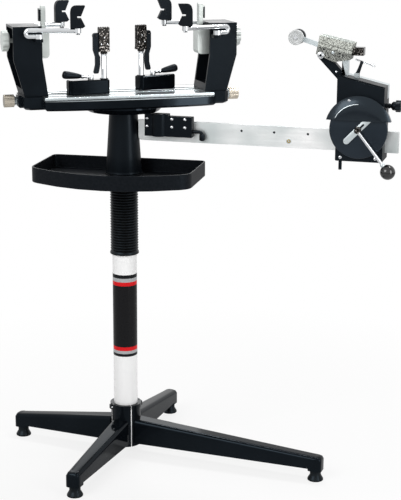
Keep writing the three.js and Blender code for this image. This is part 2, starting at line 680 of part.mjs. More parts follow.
// Turntable casting: an oval deck over a drum, with raised end blocks and a groove for each lead screw
function deckPoints(inset) {
  const halfWidth = deck.halfWidth - inset;
  const ovalEnd = deck.blockStart - inset;
  const endWidth = deck.ovalEndWidth - inset;
  const curve = new THREE.CubicBezierCurve(
    new THREE.Vector2(0, halfWidth),
    new THREE.Vector2(ovalEnd * deckCurveShare.bulgeX, halfWidth),
    new THREE.Vector2(ovalEnd * deckCurveShare.shoulderX, (halfWidth + endWidth) / 2),
    new THREE.Vector2(ovalEnd, endWidth),
  ).getPoints(7).map((point) => [point.x, point.y]);
  const blockEnd = deck.halfLength - deck.noseLength - inset;
  const blockHalf = deck.blockHalfWidth - inset;
  const noseHalf = deck.noseHalfWidth - inset;
  const quarter = [
    ...curve, [ovalEnd, blockHalf], [blockEnd - deck.blockChamfer, blockHalf],
    [blockEnd, blockHalf - deck.blockChamfer], [blockEnd, noseHalf], [deck.halfLength - inset, noseHalf],
  ];
  const right = [...quarter, ...quarter.map(([x, y]) => [x, -y]).reverse()];
  const left = right.map(([x, y]) => [-x, -y]).slice(1, -1);
  return [...right, ...left];
}

// Level outlines stacked into one solid; each level is [height, inset]
function stack(pointsAt, levels) {
  const rings = levels.map(([z, inset]) => pointsAt(inset).map(([x, y]) => new THREE.Vector3(x, y, z)));
  return loft(rings, rings[0].map((point) => new THREE.Vector2(point.x, point.y)));
}

function deckShape() {
  const oval = stack(deckPoints, [
    [deck.bottom, deck.edgeDrop], [deck.bottom + deck.edgeDrop, 0], [track.top, 0],
  ]);
  const spindleBore = boreRadius(neck.spindleRadius, sides.medium);
  const dish = revolve([
    [0, neck.top + gap], [drum.lowRadius, neck.top + gap], [drum.radius, deck.bottom - drum.skirt],
    [drum.radius, deck.bottom + deck.edgeDrop], [0, deck.bottom + deck.edgeDrop],
  ], sides.large);
  const ovalEnd = deck.blockStart + gap;
  const middle = block(
    [-ovalEnd, ovalEnd], [-deck.halfWidth - overrun, deck.halfWidth + overrun], [deck.top, track.top + overrun]);
  const cuts = [-1, 1].flatMap((side) => [
    block(
      [side * deck.grooveStart, side * deck.grooveEnd], [-deck.grooveHalfWidth, deck.grooveHalfWidth],
      [deck.bottom + deck.grooveFloor, deck.top]),
    block(
      [side * deck.grooveStart, side * deck.grooveEnd], [-deck.slotHalfWidth, deck.slotHalfWidth],
      [deck.top - overrun, track.top + overrun]),
    cylinder(
      boreRadius(leadScrew.radius, sides.small), deck.grooveEnd - overrun, deck.halfLength + overrun,
      sides.small, "x").scale(side, 1, 1).translate(0, 0, leadScrew.height),
  ]);
  const spindleHole = cylinder(spindleBore, neck.top - overrun, track.top, sides.medium);
  return cut(join(oval, dish), middle, spindleHole, ...cuts);
}

function trackShape(side) {
  const at = (y, z) => [side * y, z];
  const low = deck.top + gap;
  const centre = track.slotCentre;
  const flangeBottom = track.top - track.flange;
  const shape = outline([
    at(track.inner, low), at(track.outer, low), at(track.outer, track.top),
    at(centre + track.slotHalfWidth, track.top), at(centre + track.slotHalfWidth, flangeBottom),
    at(centre + track.cavityHalfWidth, flangeBottom), at(centre + track.cavityHalfWidth, low + track.web),
    at(centre - track.cavityHalfWidth, low + track.web), at(centre - track.cavityHalfWidth, flangeBottom),
    at(centre - track.slotHalfWidth, flangeBottom), at(centre - track.slotHalfWidth, track.top),
    at(track.inner, track.top),
  ]);
  const half = deck.blockStart - gap;
  return slab(shape, "yz", -half, half);
}

// Lead screw with its fluted end knob, collar and inner stop ring
function leadScrewShape(side) {
  const screw = cylinder(leadScrew.radius, leadScrew.start, leadScrew.knobStart + overrun, sides.small, "x");
  const collarStart = deck.halfLength + gap;
  const collar = cylinder(
    leadScrew.collarRadius, collarStart, collarStart + leadScrew.collarLength, sides.small, "x");
  const stopEnd = deck.grooveEnd - gap;
  const stop = cylinder(leadScrew.stopRadius, stopEnd - leadScrew.stopLength, stopEnd, sides.small, "x");
  const knob = slab(
    lobedOutline(leadScrew.knobRadius, leadScrew.fluteDepth, leadScrew.flutes, 4),
    "yz", collarStart + leadScrew.collarLength - gap, leadScrew.knobEnd);
  const whole = join(screw, collar, stop, knob);
  return side > 0 ? whole : whole.mirror([1, 0, 0]);
}

// Towers: leaning I-sections on the deck with ears for the arm pins and a nut on the lead screw
function towerFace(z) {
  const share = Math.min((z - tower.foot) / (tower.bendHeight - tower.foot), 1);
  return {
    inner: THREE.MathUtils.lerp(tower.footInner, tower.innerFace, share),
    outer: THREE.MathUtils.lerp(tower.footOuter, tower.outerFace, share),
  };
}

// The band of the tower's side view between two offsets from its faces
function towerBand(bottom, top, innerEdge, outerEdge, halfDepth) {
  const heights = [bottom, tower.bendHeight, top];
  const innerPoints = heights.map((z) => [innerEdge(towerFace(z)), z]);
  const outerPoints = heights.map((z) => [outerEdge(towerFace(z)), z]).reverse();
  return slab(outline([...innerPoints, ...outerPoints]), "xz", -halfDepth, halfDepth);
}

function towerEar(hand) {
  const top = arm.lowerHeight - arm.rodRadius - gap;
  const bottom = top - arm.earThickness;
  const half = arm.earWidth / 2;
  const tab = block(
    [arm.pinX - half, arm.pinX + half], [hand * (tower.halfDepth - tower.plate / 2), hand * arm.pinOffset],
    [bottom, top]);
  const end = cylinder(half, bottom, top, sides.small).translate(arm.pinX, hand * arm.pinOffset, 0);
  const pinTop = arm.upperHeight - arm.rodRadius - 3 * gap;
  const pin = cylinder(arm.pinRadius, bottom, pinTop, sides.fine)
    .translate(arm.pinX, hand * arm.pinOffset, 0);
  return join(tab, end, pin);
}

function towerShape(side) {
  const whole = towerBand(
    tower.foot, tower.top, (face) => face.inner, (face) => face.outer, tower.halfDepth);
  const pocketBottom = tower.foot + tower.footHeight;
  const pocketTop = tower.top - tower.pocketTopLip;
  const pocketHalf = tower.halfDepth - tower.plate;
  const innerPocket = towerBand(
    pocketBottom, pocketTop, (face) => face.inner - overrun, (face) => face.inner + tower.innerPocket, pocketHalf);
  const outerPocket = towerBand(
    pocketBottom, pocketTop, (face) => face.outer - tower.outerPocket, (face) => face.outer + overrun, pocketHalf);
  const nutStart = tower.footInner + tower.nutHalfWidth;
  const nutSpan = [nutStart, nutStart + tower.nutLength];
  const tongueHalf = deck.slotHalfWidth - 2 * gap;
  const tongue = block(nutSpan, [-tongueHalf, tongueHalf], [leadScrew.height, tower.foot + overrun]);
  const nutBottom = deck.bottom + deck.grooveFloor + 2 * gap;
  const nut = block(nutSpan, [-tower.nutHalfWidth, tower.nutHalfWidth], [nutBottom, deck.top]);
  const screwBore = cylinder(
    boreRadius(leadScrew.radius, sides.small), nutSpan[0] - overrun, nutSpan[1] + overrun, sides.small, "x")
    .translate(0, 0, leadScrew.height);
  const knobBore = cylinder(
    boreRadius(armKnob.shaftRadius, sides.fine), tower.innerFace, tower.outerFace, sides.fine, "x")
    .translate(0, 0, armKnob.height);
  const solid = join(cut(whole, innerPocket, outerPocket), tongue, nut, towerEar(1), towerEar(-1));
  return mirrored(cut(solid, screwBore, knobBore), side);
}

// Inner frame support: a plate in the tower's pocket, a post over it and a pad on the post
function supportShape(side) {
  const back = tower.innerFace + tower.innerPocket - gap;
  const round = support.halfWidth / 2;
  const corner = arcPoints(
    support.bodyInner + round, support.bodyBottom + round, round, 1.5 * Math.PI, Math.PI, 5);
  const body = slab(outline([
    [back, support.bodyTop], [back, support.bodyBottom], ...corner, [support.bodyInner, support.bodyTop],
  ].reverse()), "xz", -support.halfWidth, support.halfWidth);
  const crown = arcPoints(0, support.postTop - support.postHalfWidth, support.postHalfWidth, 0, Math.PI, 8);
  const upright = slab(outline([
    [-support.postHalfWidth, support.bodyBottom + round], [support.postHalfWidth, support.bodyBottom + round],
    ...crown,
  ]), "yz", support.postInner, support.postOuter);
  const padHalf = support.postHalfWidth - support.padThickness / 4;
  const pad = block(
    [support.postOuter - gap, support.postOuter + support.padThickness], [-padHalf, padHalf],
    [support.padBottom, support.padTop]);
  return mirrored(join(body, upright, pad), side);
}

function armKnobShape(side) {
  const shaftStart = tower.innerFace + tower.innerPocket + gap;
  const shaft = cylinder(armKnob.shaftRadius, shaftStart, armKnob.start + overrun, sides.fine, "x");
  const hub = cylinder(armKnob.hubRadius, tower.outerFace + gap, armKnob.start + overrun, sides.small, "x");
  const grip = slab(
    lobedOutline(armKnob.radius, armKnob.lobeDepth, armKnob.lobes), "yz", armKnob.start, armKnob.end);
  return mirrored(join(shaft, hub, grip), side);
}

// Frame arm: an eye on the tower pin, a hairpin bend, and a rod to the adapter's pin; +X runs to the adapter
function armShape() {
  const bend = (arm.upperHeight - arm.lowerHeight) / 2;
  const bendX = -arm.hookReach + bend;
  const hook = arcPoints(bendX, arm.lowerHeight + bend, bend, 1.5 * Math.PI, 0.5 * Math.PI, 6);
  const path = [[0, arm.lowerHeight], ...hook, [arm.length + arm.endOverhang, arm.upperHeight]]
    .map(([x, z]) => new THREE.Vector3(x, 0, z));
  const rod = bentRod(path, new THREE.Vector3(0, 1, 0), arm.rodRadius);
  const eye = cylinder(
    arm.eyeRadius, arm.lowerHeight - arm.rodRadius, arm.lowerHeight + arm.rodRadius, sides.fine);
  const boss = cylinder(
    arm.endOverhang, arm.upperHeight - arm.rodRadius, arm.upperHeight + arm.rodRadius, sides.fine)
    .translate(arm.length, 0, 0);
  const pinBore = cylinder(
    boreRadius(arm.pinRadius, sides.fine), arm.lowerHeight - 2 * arm.rodRadius,
    arm.upperHeight - arm.rodRadius, sides.fine);
  const adapterBore = cylinder(
    boreRadius(adapter.pinRadius, sides.fine), arm.upperHeight - 2 * arm.rodRadius,
    arm.upperHeight + 2 * arm.rodRadius, sides.fine).translate(arm.length, 0, 0);
  return cut(join(rod, eye, boss), pinBore, adapterBore);
}

// Frame adapter: a block with a V throat and a slot at its root, on a pin through the arm's end
function adapterShape() {
  const half = adapter.width / 2;
  const throat = half - adapter.throat;
  const slotHalf = adapter.slotHeight / 2;
  const base = arm.upperHeight + arm.rodRadius + gap;
  const shoulder = new THREE.QuadraticBezierCurve(
    new THREE.Vector2(-half + adapter.outerCurve, adapter.height),
    new THREE.Vector2(-half, adapter.height),
    new THREE.Vector2(-half, adapter.height - adapter.outerCurve - adapter.tipHeight),
  ).getPoints(6).map((point) => [point.x, point.y]);
  const profile = [
    [-half, 0], [half - adapter.tipRun, 0], [half, adapter.tipHeight],
    [throat, adapter.slotCentre - slotHalf], [throat - adapter.slotDepth, adapter.slotCentre - slotHalf],
    [throat - adapter.slotDepth, adapter.slotCentre + slotHalf], [throat, adapter.slotCentre + slotHalf],
    [half, adapter.height - adapter.tipHeight / 2], [half - adapter.tipHeight / 4, adapter.height],
    ...shoulder,
  ].map(([x, z]) => [x, base + z]);
  const body = slab(outline(profile), "xz", -adapter.thickness / 2, adapter.thickness / 2);
  const nutTop = arm.upperHeight - arm.rodRadius - gap;
  const pin = cylinder(adapter.pinRadius, nutTop - adapter.nutHeight, base + overrun, sides.fine);
  const nut = cylinder(adapter.nutRadius, nutTop - adapter.nutHeight, nutTop, 6);
  return join(body, pin, nut);
}

function armGroup(sideName, side, handName, hand) {
  const swing = radians(arm.swing);
  const inward = new THREE.Vector2(-side * Math.cos(swing), hand * Math.sin(swing));
  const swinging = new THREE.Group();
  swinging.position.set(side * arm.pinX, hand * arm.pinOffset, 0);
  swinging.rotation.z = inward.angle();
  swinging.add(chrome(`arm_${sideName}_${handName}`, armShape()));
  const tip = blackPlastic(`adapter_${sideName}_${handName}`, adapterShape());
  tip.position.x = arm.length;
  tip.rotation.z = side * hand * radians(adapterTurn[`${sideName}_${handName}`]);
  swinging.add(tip);
  return swinging;
}

// String clamp, as it stands on its pivot; side says which way is outward
function shoeShape() {
  const floor = deck.top + gap + track.web;
  const ceiling = track.top - track.flange;
  const half = clamp.shoeLength / 2;
  const plateHalf = track.cavityHalfWidth - 2 * gap;
  const neckHalf = track.slotHalfWidth - gap;
  const plate = block([-half, half], [-plateHalf, plateHalf], [floor + gap, ceiling - gap]);
  const stem = block([-half / 2, half / 2], [-neckHalf, neckHalf], [floor + gap, track.top + gap]);
  const pin = cylinder(clamp.shoePin, track.top + gap, clamp.shoePinTop, sides.medium);
  return join(plate, stem, pin);
}

function roundedPoints([x0, x1], [y0, y1], radius) {
  const quarter = Math.PI / 2;
  return [
    ...arcPoints(x1 - radius, y1 - radius, radius, 0, quarter, 3),
    ...arcPoints(x0 + radius, y1 - radius, radius, quarter, 2 * quarter, 3),
    ...arcPoints(x0 + radius, y0 + radius, radius, 2 * quarter, 3 * quarter, 3),
    ...arcPoints(x1 - radius, y0 + radius, radius, 3 * quarter, 4 * quarter, 3),
  ];
}

function clampBaseShape(side) {
  const inboard = clamp.postToLock + clamp.postToEnd;
  const outboard = clamp.baseLength - inboard;
  const half = clamp.baseHalfWidth;
  const pointsAt = (inset) => roundedPoints(
    [-inboard + inset, outboard - inset], [-half + inset, half - inset], clamp.baseRound);
  const body = stack(pointsAt, [
    [clamp.baseBottom, 0], [clamp.baseTop - clamp.baseBevel, 0], [clamp.baseTop, clamp.baseBevel],
  ]);
  const collarTop = clamp.baseTop + clamp.collarHeight;
  const collar = cylinder(clamp.collarRadius, clamp.baseTop - overrun, collarTop, sides.medium)
    .translate(-clamp.postToLock, 0, 0);
  const end = block(
    [-inboard - overrun, -inboard], [-half, half], [clamp.baseBottom, collarTop + overrun]);
  const well = cylinder(boreRadius(post.radius, sides.medium), clamp.wellBottom, collarTop + overrun, sides.medium)
    .translate(-clamp.postToLock, 0, 0);
  const socket = cylinder(
    boreRadius(clamp.shoePin, sides.medium), clamp.baseBottom - overrun, clamp.shoePinTop + gap, sides.medium);
  const studHole = cylinder(
    boreRadius(lock.studRadius, sides.fine), clamp.baseTop - lock.studDepth - gap,
    clamp.baseTop + overrun, sides.fine);
  return mirrored(cut(join(body, collar), end, well, socket, studHole), side);
}

// Lock lever: hub and stud with a flat arm and a drop-shaped grip that rises outward
function lockLeverShape(side) {
  const base = clamp.baseTop + gap;
  const hub = cylinder(lock.hubRadius, base, base + lock.hubHeight, sides.small);
  const stud = cylinder(lock.studRadius, base - lock.studDepth, base + lock.armHeight, sides.fine);
  const shank = block(
    [0, lock.gripStart + lock.gripHalfWidth], [-lock.armHalfWidth, lock.armHalfWidth],
    [base + lock.gripLow, base + lock.armHeight]);
  const rings = lockGripShares.map(([along, width, height]) => {
    const x = THREE.MathUtils.lerp(lock.gripStart, lock.gripEnd, along);
    const high = THREE.MathUtils.lerp(lock.gripRootHigh, lock.gripEndHigh, along);
    const middle = (lock.gripLow + high) / 2;
    const reach = ((high - lock.gripLow) / 2) * height;
    return arcPoints(0, 0, 1, 0, 2 * Math.PI, sides.fine).slice(0, -1).map(([y, z]) => new THREE.Vector3(
      x, y * lock.gripHalfWidth * width, base + middle + z * reach));
  });
  const grip = loft(rings, rings[0].map((point) => new THREE.Vector2(point.y, point.z)));
  return mirrored(join(hub, stud, shank, grip), side);
}

function postShape() {
  const bore = boreRadius(jawHead.spigotRadius, sides.fine);
  return revolve([
    [0, post.bottom], [post.radius, post.bottom], [post.radius, post.top], [bore, post.top],
    [bore, post.top - jawHead.spigotDepth - gap], [0, post.top - jawHead.spigotDepth - gap],
  ], sides.medium);
}

// One jaw plate seen from the front, with its comb of teeth
function combOutline(bottom) {
  const pitch = (2 * jawHead.halfWidth) / (jawHead.teeth - 1 + toothWidthShare);
  const width = pitch * toothWidthShare;
  const comb = Array.from({ length: jawHead.teeth }, (unused, at) => {
    const start = -jawHead.halfWidth + at * pitch;
    return [
      [start, jawHead.toothRoot], [start, jawHead.toothTop - jawHead.toothPoint],
      [start + width / 2, jawHead.toothTop], [start + width, jawHead.toothTop - jawHead.toothPoint],
      [start + width, jawHead.toothRoot],
    ];
  }).flat();
  return outline([[jawHead.halfWidth, bottom], [-jawHead.halfWidth, bottom], ...comb].reverse());
}

function clampHeadShape(side) {
  const bottom = post.top + gap;
  const half = jawHead.halfWidth;
  const spigot = cylinder(jawHead.spigotRadius, post.top - jawHead.spigotDepth, bottom + overrun, sides.fine);
  const throat = cylinder(jawHead.neckRadius, bottom, bottom + jawHead.neckHeight, sides.small);
  const base = block([-half, half], [-jawHead.blockDepth, jawHead.blockDepth],
    [bottom + jawHead.neckHeight - gap, jawHead.blockTop]);
  const jaw = slab(
    combOutline(jawHead.blockTop - overrun), "xz", jawHead.jawGap, jawHead.jawGap + jawHead.jawThickness);
  const earFront = jawLever.halfThickness + gap;
  const ear = block(
    [half - overrun, jawLever.pinX], [earFront, earFront + jawHead.earThickness],
    [jawLever.pinZ - jawHead.earDrop, jawLever.pinZ + jawLever.headRadius]);
  const earRound = cylinder(
    jawLever.headRadius, earFront, earFront + jawHead.earThickness, sides.small, "y")
    .translate(jawLever.pinX, 0, jawLever.pinZ);
  const pin = cylinder(
    jawHead.leverPin, -jawLever.halfThickness - jawHead.leverPin, earFront + gap, sides.fine, "y")
    .translate(jawLever.pinX, 0, jawLever.pinZ);
  return mirrored(join(spigot, throat, base, jaw, ear, earRound, pin), side);
}

function clampJawShape() {
  const radius = jawHead.jawThickness / 2;
  const hingeZ = jawHead.blockTop + gap + radius;
  const middle = -jawHead.jawGap - radius;
  const plate = slab(combOutline(hingeZ), "xz", middle - radius, middle + radius);
  const foot = cylinder(radius, -jawHead.halfWidth, jawHead.halfWidth, sides.small, "x")
    .translate(0, middle, hingeZ);
  return join(plate, foot);
}

function clampLeverShape(side) {
  const radius = jawLever.headRadius;
  const [headInner, headOuter] = [jawLever.pinX - radius, jawLever.pinX + radius];
  const inner = headInner - jawLever.inset;
  const outer = inner + jawLever.width;
  const crown = arcPoints(jawLever.pinX, jawLever.pinZ, radius, 0, Math.PI, 8);
  const shape = outline([
    ...crown, [headInner, jawLever.shankTop + jawLever.shoulder], [inner, jawLever.shankTop],
    [inner, jawLever.kickTop], [headInner, jawLever.bottom + jawLever.kick],
    [headInner + jawLever.kick / 2, jawLever.bottom], [outer + jawLever.kick / 2, jawLever.bottom],
    [outer + jawLever.kick, jawLever.bottom + jawLever.kick], [outer, jawLever.kickTop],
    [outer, jawLever.shankTop], [headOuter, jawLever.headBottom],
  ]);
  const hole = new THREE.Path();
  const bore = boreRadius(jawHead.leverPin, sides.fine);
  hole.absarc(jawLever.pinX, jawLever.pinZ, bore, 0, 2 * Math.PI, true);
  shape.holes.push(hole);
  return mirrored(asSolid(slab(shape, "xz", -jawLever.halfThickness, jawLever.halfThickness)), side);
}

function clampGroup(name, side) {
  const placed = new THREE.Group();
  placed.position.set(clamp.pivotX[name], side * track.slotCentre, 0);
  placed.add(brushedSteel(`clamp_shoe_${name}`, shoeShape()));
  const turned = new THREE.Group();
  turned.rotation.z = radians(clamp.baseTurn[name]);
  turned.add(blackPaint(`clamp_base_${name}`, clampBaseShape(side)));
  turned.add(blackPlastic(`lock_lever_${name}`, lockLeverShape(side)));
  const head = new THREE.Group();
  head.position.x = -side * clamp.postToLock;
  head.add(chrome(`clamp_post_${name}`, postShape()));
  head.add(brushedSteel(`clamp_head_${name}`, clampHeadShape(side)));
  head.add(brushedSteel(`clamp_jaw_${name}`, clampJawShape()));
  head.add(blackPaint(`clamp_lever_${name}`, clampLeverShape(side)));
  turned.add(head);
  placed.add(turned);
  return placed;
}

function addTurntable() {
  const turning = new THREE.Group();
  turning.rotation.z = radians(turntableTurn);
  turning.add(blackPaint("turntable", deckShape()));
  turning.add(brushedSteel("track_front", trackShape(-1)));
  turning.add(brushedSteel("track_rear", trackShape(1)));
  for (const [name, side] of [["left", -1], ["right", 1]]) {
    turning.add(blackPaint(`tower_${name}`, towerShape(side)));
    const screw = brushedSteel(`screw_knob_${name}`, leadScrewShape(side));
    screw.position.z = leadScrew.height;
    turning.add(screw);
    turning.add(castAlloy(`frame_support_${name}`, supportShape(side)));
    const knob = castAlloy(`arm_knob_${name}`, armKnobShape(side));
    knob.position.z = armKnob.height;
    turning.add(knob);
    turning.add(armGroup(name, side, "front", -1));
    turning.add(armGroup(name, side, "back", 1));
    turning.add(clampGroup(name, side));
  }
  machine.add(turning);
}

// Tension head that slides on the bar
function capsule([x0, z0], [x1, z1], width) {
  const turn = Math.atan2(z1 - z0, x1 - x0);
  const half = width / 2;
  return outline([
    ...arcPoints(x1, z1, half, turn - Math.PI / 2, turn + Math.PI / 2, 6),
    ...arcPoints(x0, z0, half, turn + Math.PI / 2, turn + 1.5 * Math.PI, 6),
  ]);
}

function headTopAt(x) {
  const share = (x - headBody.left) / (headBody.right - headBody.left);
  return THREE.MathUtils.lerp(headBody.topLeft, headBody.topRight, share);
}

function gripperBottomAt(x) {
  const [x0, z0] = gripper.bottomLeft;
  const [x1, z1] = gripper.bottomRight;
  return THREE.MathUtils.lerp(z0, z1, (x - x0) / (x1 - x0));
}

// Two ears and a pin that carry the trip lever on the sloping top
function tripEars() {
  const inner = trip.bodyRadius + gap;
  const outer = inner + trip.earThickness;
  const span = [trip.pivotX - trip.earHalfWidth, trip.pivotX + trip.earHalfWidth];
  const height = [headBody.topRight, trip.pivotZ + trip.earHalfWidth];
  const pin = cylinder(trip.pinRadius, -outer, outer, sides.fine, "y").translate(trip.pivotX, 0, trip.pivotZ);
  return join(block(span, [inner, outer], height), block(span, [-outer, -inner], height), pin);
}

function headBodyShape() {
  const box = slab(outline([
    [headBody.left, headBody.bottom], [headBody.right, headBody.bottom], [headBody.right, headBody.topRight],
    [headBody.left, headBody.topLeft],
  ]), "xz", headBody.front, headBody.back);
  const yokeArm = slab(
    capsule([yoke.x, yoke.z], [yoke.rootX, yoke.rootZ], yoke.width), "xz",
    -yoke.halfThickness, yoke.halfThickness);
  const pinEnd = gripper.halfWidth + gripper.pinOverhang;
  const yokePin = cylinder(yoke.pinRadius, -pinEnd, pinEnd, sides.fine, "y").translate(yoke.x, 0, yoke.z);
  const seat = slab(outline([
    [strut.left, headBody.topRight], [strut.right, headBody.topRight],
    [strut.right, gripperBottomAt(strut.right) - gap], [strut.left, gripperBottomAt(strut.left) - gap],
  ]), "xz", -strut.halfWidth, strut.halfWidth);
  const stub = cylinder(peg.radius, peg.bottom, headBody.bottom + overrun, sides.fine)
    .translate(peg.x, peg.y, 0);
  const channelHalf = bar.thickness / 2 + headBody.barGap;
  const channel = block(
    [headBody.left - overrun, headBody.right + overrun], [-channelHalf, channelHalf],
    [bar.bottom - headBody.barGap, bar.bottom + bar.height + headBody.barGap]);
  const shaftHole = cylinder(
    boreRadius(winder.shaftRadius, sides.medium), headBody.front - overrun, shaftEnd() + gap, sides.medium, "y")
    .translate(winder.x, 0, winder.z);
  const dialHole = cylinder(
    boreRadius(dial.shaftRadius, sides.fine), headBody.right - dial.shaftDepth - gap,
    headBody.right + overrun, sides.fine, "x").translate(0, dial.y, dial.z);
  return cut(join(box, yokeArm, yokePin, seat, stub, tripEars()), channel, shaftHole, dialHole);
}

function discBack() {
  return headBody.front - gap - cover.thickness - gap;
}

function shaftEnd() {
  return discBack() + winder.shaftDepth;
}

function coverShape() {
  const [left, right] = [headBody.left, headBody.right];
  const shape = new THREE.Shape();
  shape.moveTo(left + cover.corner, cover.bottom);
  shape.lineTo(right - cover.corner, cover.bottom);
  shape.quadraticCurveTo(right, cover.bottom, right, cover.bottom + cover.corner);
  shape.lineTo(right, headBody.topRight - cover.inset);
  shape.lineTo(left, headBody.topLeft - cover.inset);
  shape.lineTo(left, cover.bottom + cover.corner);
  shape.quadraticCurveTo(left, cover.bottom, left + cover.corner, cover.bottom);
  const hole = new THREE.Path();
  hole.absarc(winder.x, winder.z, boreRadius(winder.shaftRadius, sides.medium), 0, 2 * Math.PI, true);
  shape.holes.push(hole);
  const back = headBody.front - gap;
  return slab(shape, "xz", back - cover.thickness, back, 8);
}

function winderDiscShape() {
  const back = discBack();
  const front = back - winder.discThickness;
  const rim = winder.discRadius - winder.discEdge;
  return revolve([
    [0, front], [rim, front], [winder.discRadius, front + winder.discEdge], [winder.discRadius, back],
    [winder.shaftRadius, back], [winder.shaftRadius, shaftEnd()], [0, shaftEnd()],
  ], sides.large, "y");
}

// Guard: a bevelled half cap over the upper part of the disc
function guardShape() {
  const back = discBack();
  const cap = revolve([
    [0, guard.front], [guard.faceRadius, guard.front], [guard.radius, guard.rimFront], [guard.radius, back],
    [guard.radius - guard.wall, back], [guard.radius - guard.wall, guard.rimFront + guard.wall / 2],
    [guard.faceRadius - guard.wall / 2, guard.front + guard.wall], [0, guard.front + guard.wall],
  ], 2 * sides.medium, "y");
  const reach = guard.radius + overrun;
  const lower = block([-reach, reach], [guard.front - overrun, back + overrun], [-reach, guard.chordUp]);
  return cut(cap, lower);
}

// Crank: a flat plate over the disc, a hub and a rod that ends in the ball
function crankArmShape() {
  const back = discBack() - winder.discThickness - gap;
  const turn = radians(crank.plateTurn);
  const along = (reach) => [reach * Math.cos(turn), reach * Math.sin(turn)];
  const half = crank.plateWidth / 2;
  const plate = slab(
    capsule(along(half - crank.plateLow), along(crank.plateHigh - half), crank.plateWidth), "xz",
    back - crank.plateThickness, back);
  const hub = cylinder(crank.hubRadius, crank.hubFront, back, sides.small, "y");
  const rodEnd = crank.rodReach - crank.ballRadius + crank.ballSocket;
  const rod = cylinder(crank.rodRadius, 0, rodEnd, sides.fine, "x")
    .rotateY(-radians(crank.rodTurn)).translate(0, crank.rodY, 0);
  return join(plate, hub, rod);
}

function crankBallShape() {
  const ball = new THREE.SphereGeometry(crank.ballRadius, sides.small, sides.fine);
  const socketFrom = -crank.ballRadius - overrun;
  const socket = cylinder(
    boreRadius(crank.rodRadius, sides.fine), socketFrom, crank.ballSocket - crank.ballRadius + gap,
    sides.fine, "x").rotateY(-radians(crank.rodTurn));
  return cut(ball, socket);
}

function dialShape() {
  const stemStart = headBody.right + gap;
  const shaft = cylinder(dial.shaftRadius, headBody.right - dial.shaftDepth, dial.headStart, sides.fine, "x");
  const stem = cylinder(dial.stemRadius, stemStart, dial.headStart + overrun, sides.fine, "x");
  const head = slab(
    lobedOutline(dial.radius, dial.lobeDepth, dial.lobes), "yz", dial.headStart, dial.headEnd);
  return join(shaft, stem, head);
}

// Gripper: a tilted block on the yoke pin, split along its top, with the guide roller's link
function gripperOutline() {
  return outline([
    gripper.topLeft, gripper.heel, gripper.bottomLeft, gripper.bottomRight, gripper.topRight,
  ]);
}

// The strip under the top edge, as deep as the jaw, with its right end set off from the gripper's
function jawStrip(depth, rightOffset, from, to) {
  const [topLeft, topRight, bottomRight] = [gripper.topLeft, gripper.topRight, gripper.bottomRight]
    .map(([x, z]) => new THREE.Vector2(x, z));
  const along = topRight.clone().sub(topLeft).normalize();
  const up = new THREE.Vector2(-along.y, along.x);
  const down = bottomRight.clone().sub(topRight).normalize();
  const leftEnd = topLeft.clone().addScaledVector(along, -gripper.halfWidth);
  const rightEnd = topRight.clone().setX(topRight.x + rightOffset);
  return slab(outline([
    leftEnd.clone().addScaledVector(up, -depth), rightEnd.clone().addScaledVector(down, -depth / down.dot(up)),
    rightEnd.clone().addScaledVector(down, -overrun), leftEnd.clone().addScaledVector(up, overrun),
  ].map((point) => [point.x, point.y])), "xz", from, to);
}

function gripperBodyShape() {
  const whole = slab(gripperOutline(), "xz", -gripper.halfWidth, gripper.halfWidth);
  const jawSeat = jawStrip(
    gripper.jawHeight + gap, gap, -gripper.halfWidth - overrun, gripper.jawGap / 2);
  const slotHalf = yoke.halfThickness + gripper.yokeClearance;
  const slot = slab(
    capsule([yoke.x, yoke.z], [yoke.rootX, yoke.rootZ], yoke.width + 2 * gripper.yokeClearance), "xz",
    -slotHalf, slotHalf);
  const pinHole = cylinder(
    boreRadius(yoke.pinRadius, sides.fine), -2 * gripper.halfWidth, 2 * gripper.halfWidth, sides.fine, "y")
    .translate(yoke.x, 0, yoke.z);
  const endBlock = block(
    [gripper.blockStart, gripper.blockEnd], [-gripper.blockHalfWidth, gripper.blockHalfWidth],
    [gripper.blockBottom, gripper.blockTop]);
  const half = roller.armHalfThickness;
  const link = slab(
    capsule([roller.x, roller.z], [roller.rootX, roller.rootZ], roller.armWidth), "xz", -half, half);
  const eye = cylinder(roller.axleRadius + roller.eyeWall, -half, half, sides.small, "y")
    .translate(roller.x, 0, roller.z);
  const axleHole = cylinder(
    boreRadius(roller.axleRadius, sides.fine), -2 * half, 2 * half, sides.fine, "y")
    .translate(roller.x, 0, roller.z);
  return cut(join(cut(join(whole, endBlock), slot, jawSeat), link, eye), pinHole, axleHole);
}

function gripperJawShape() {
  const front = slab(gripperOutline(), "xz", -gripper.halfWidth, -gripper.jawGap / 2);
  return common(front, jawStrip(gripper.jawHeight, overrun, -gripper.halfWidth - overrun, overrun));
}

function rollerShape() {
  const inner = roller.armHalfThickness + gap;
  return revolve([
    [0, -roller.halfLength], [roller.radius, -roller.halfLength], [roller.radius, -inner],
    [roller.axleRadius, -inner], [roller.axleRadius, inner], [roller.radius, inner],
    [roller.radius, roller.halfLength], [0, roller.halfLength],
  ], sides.medium, "y");
}

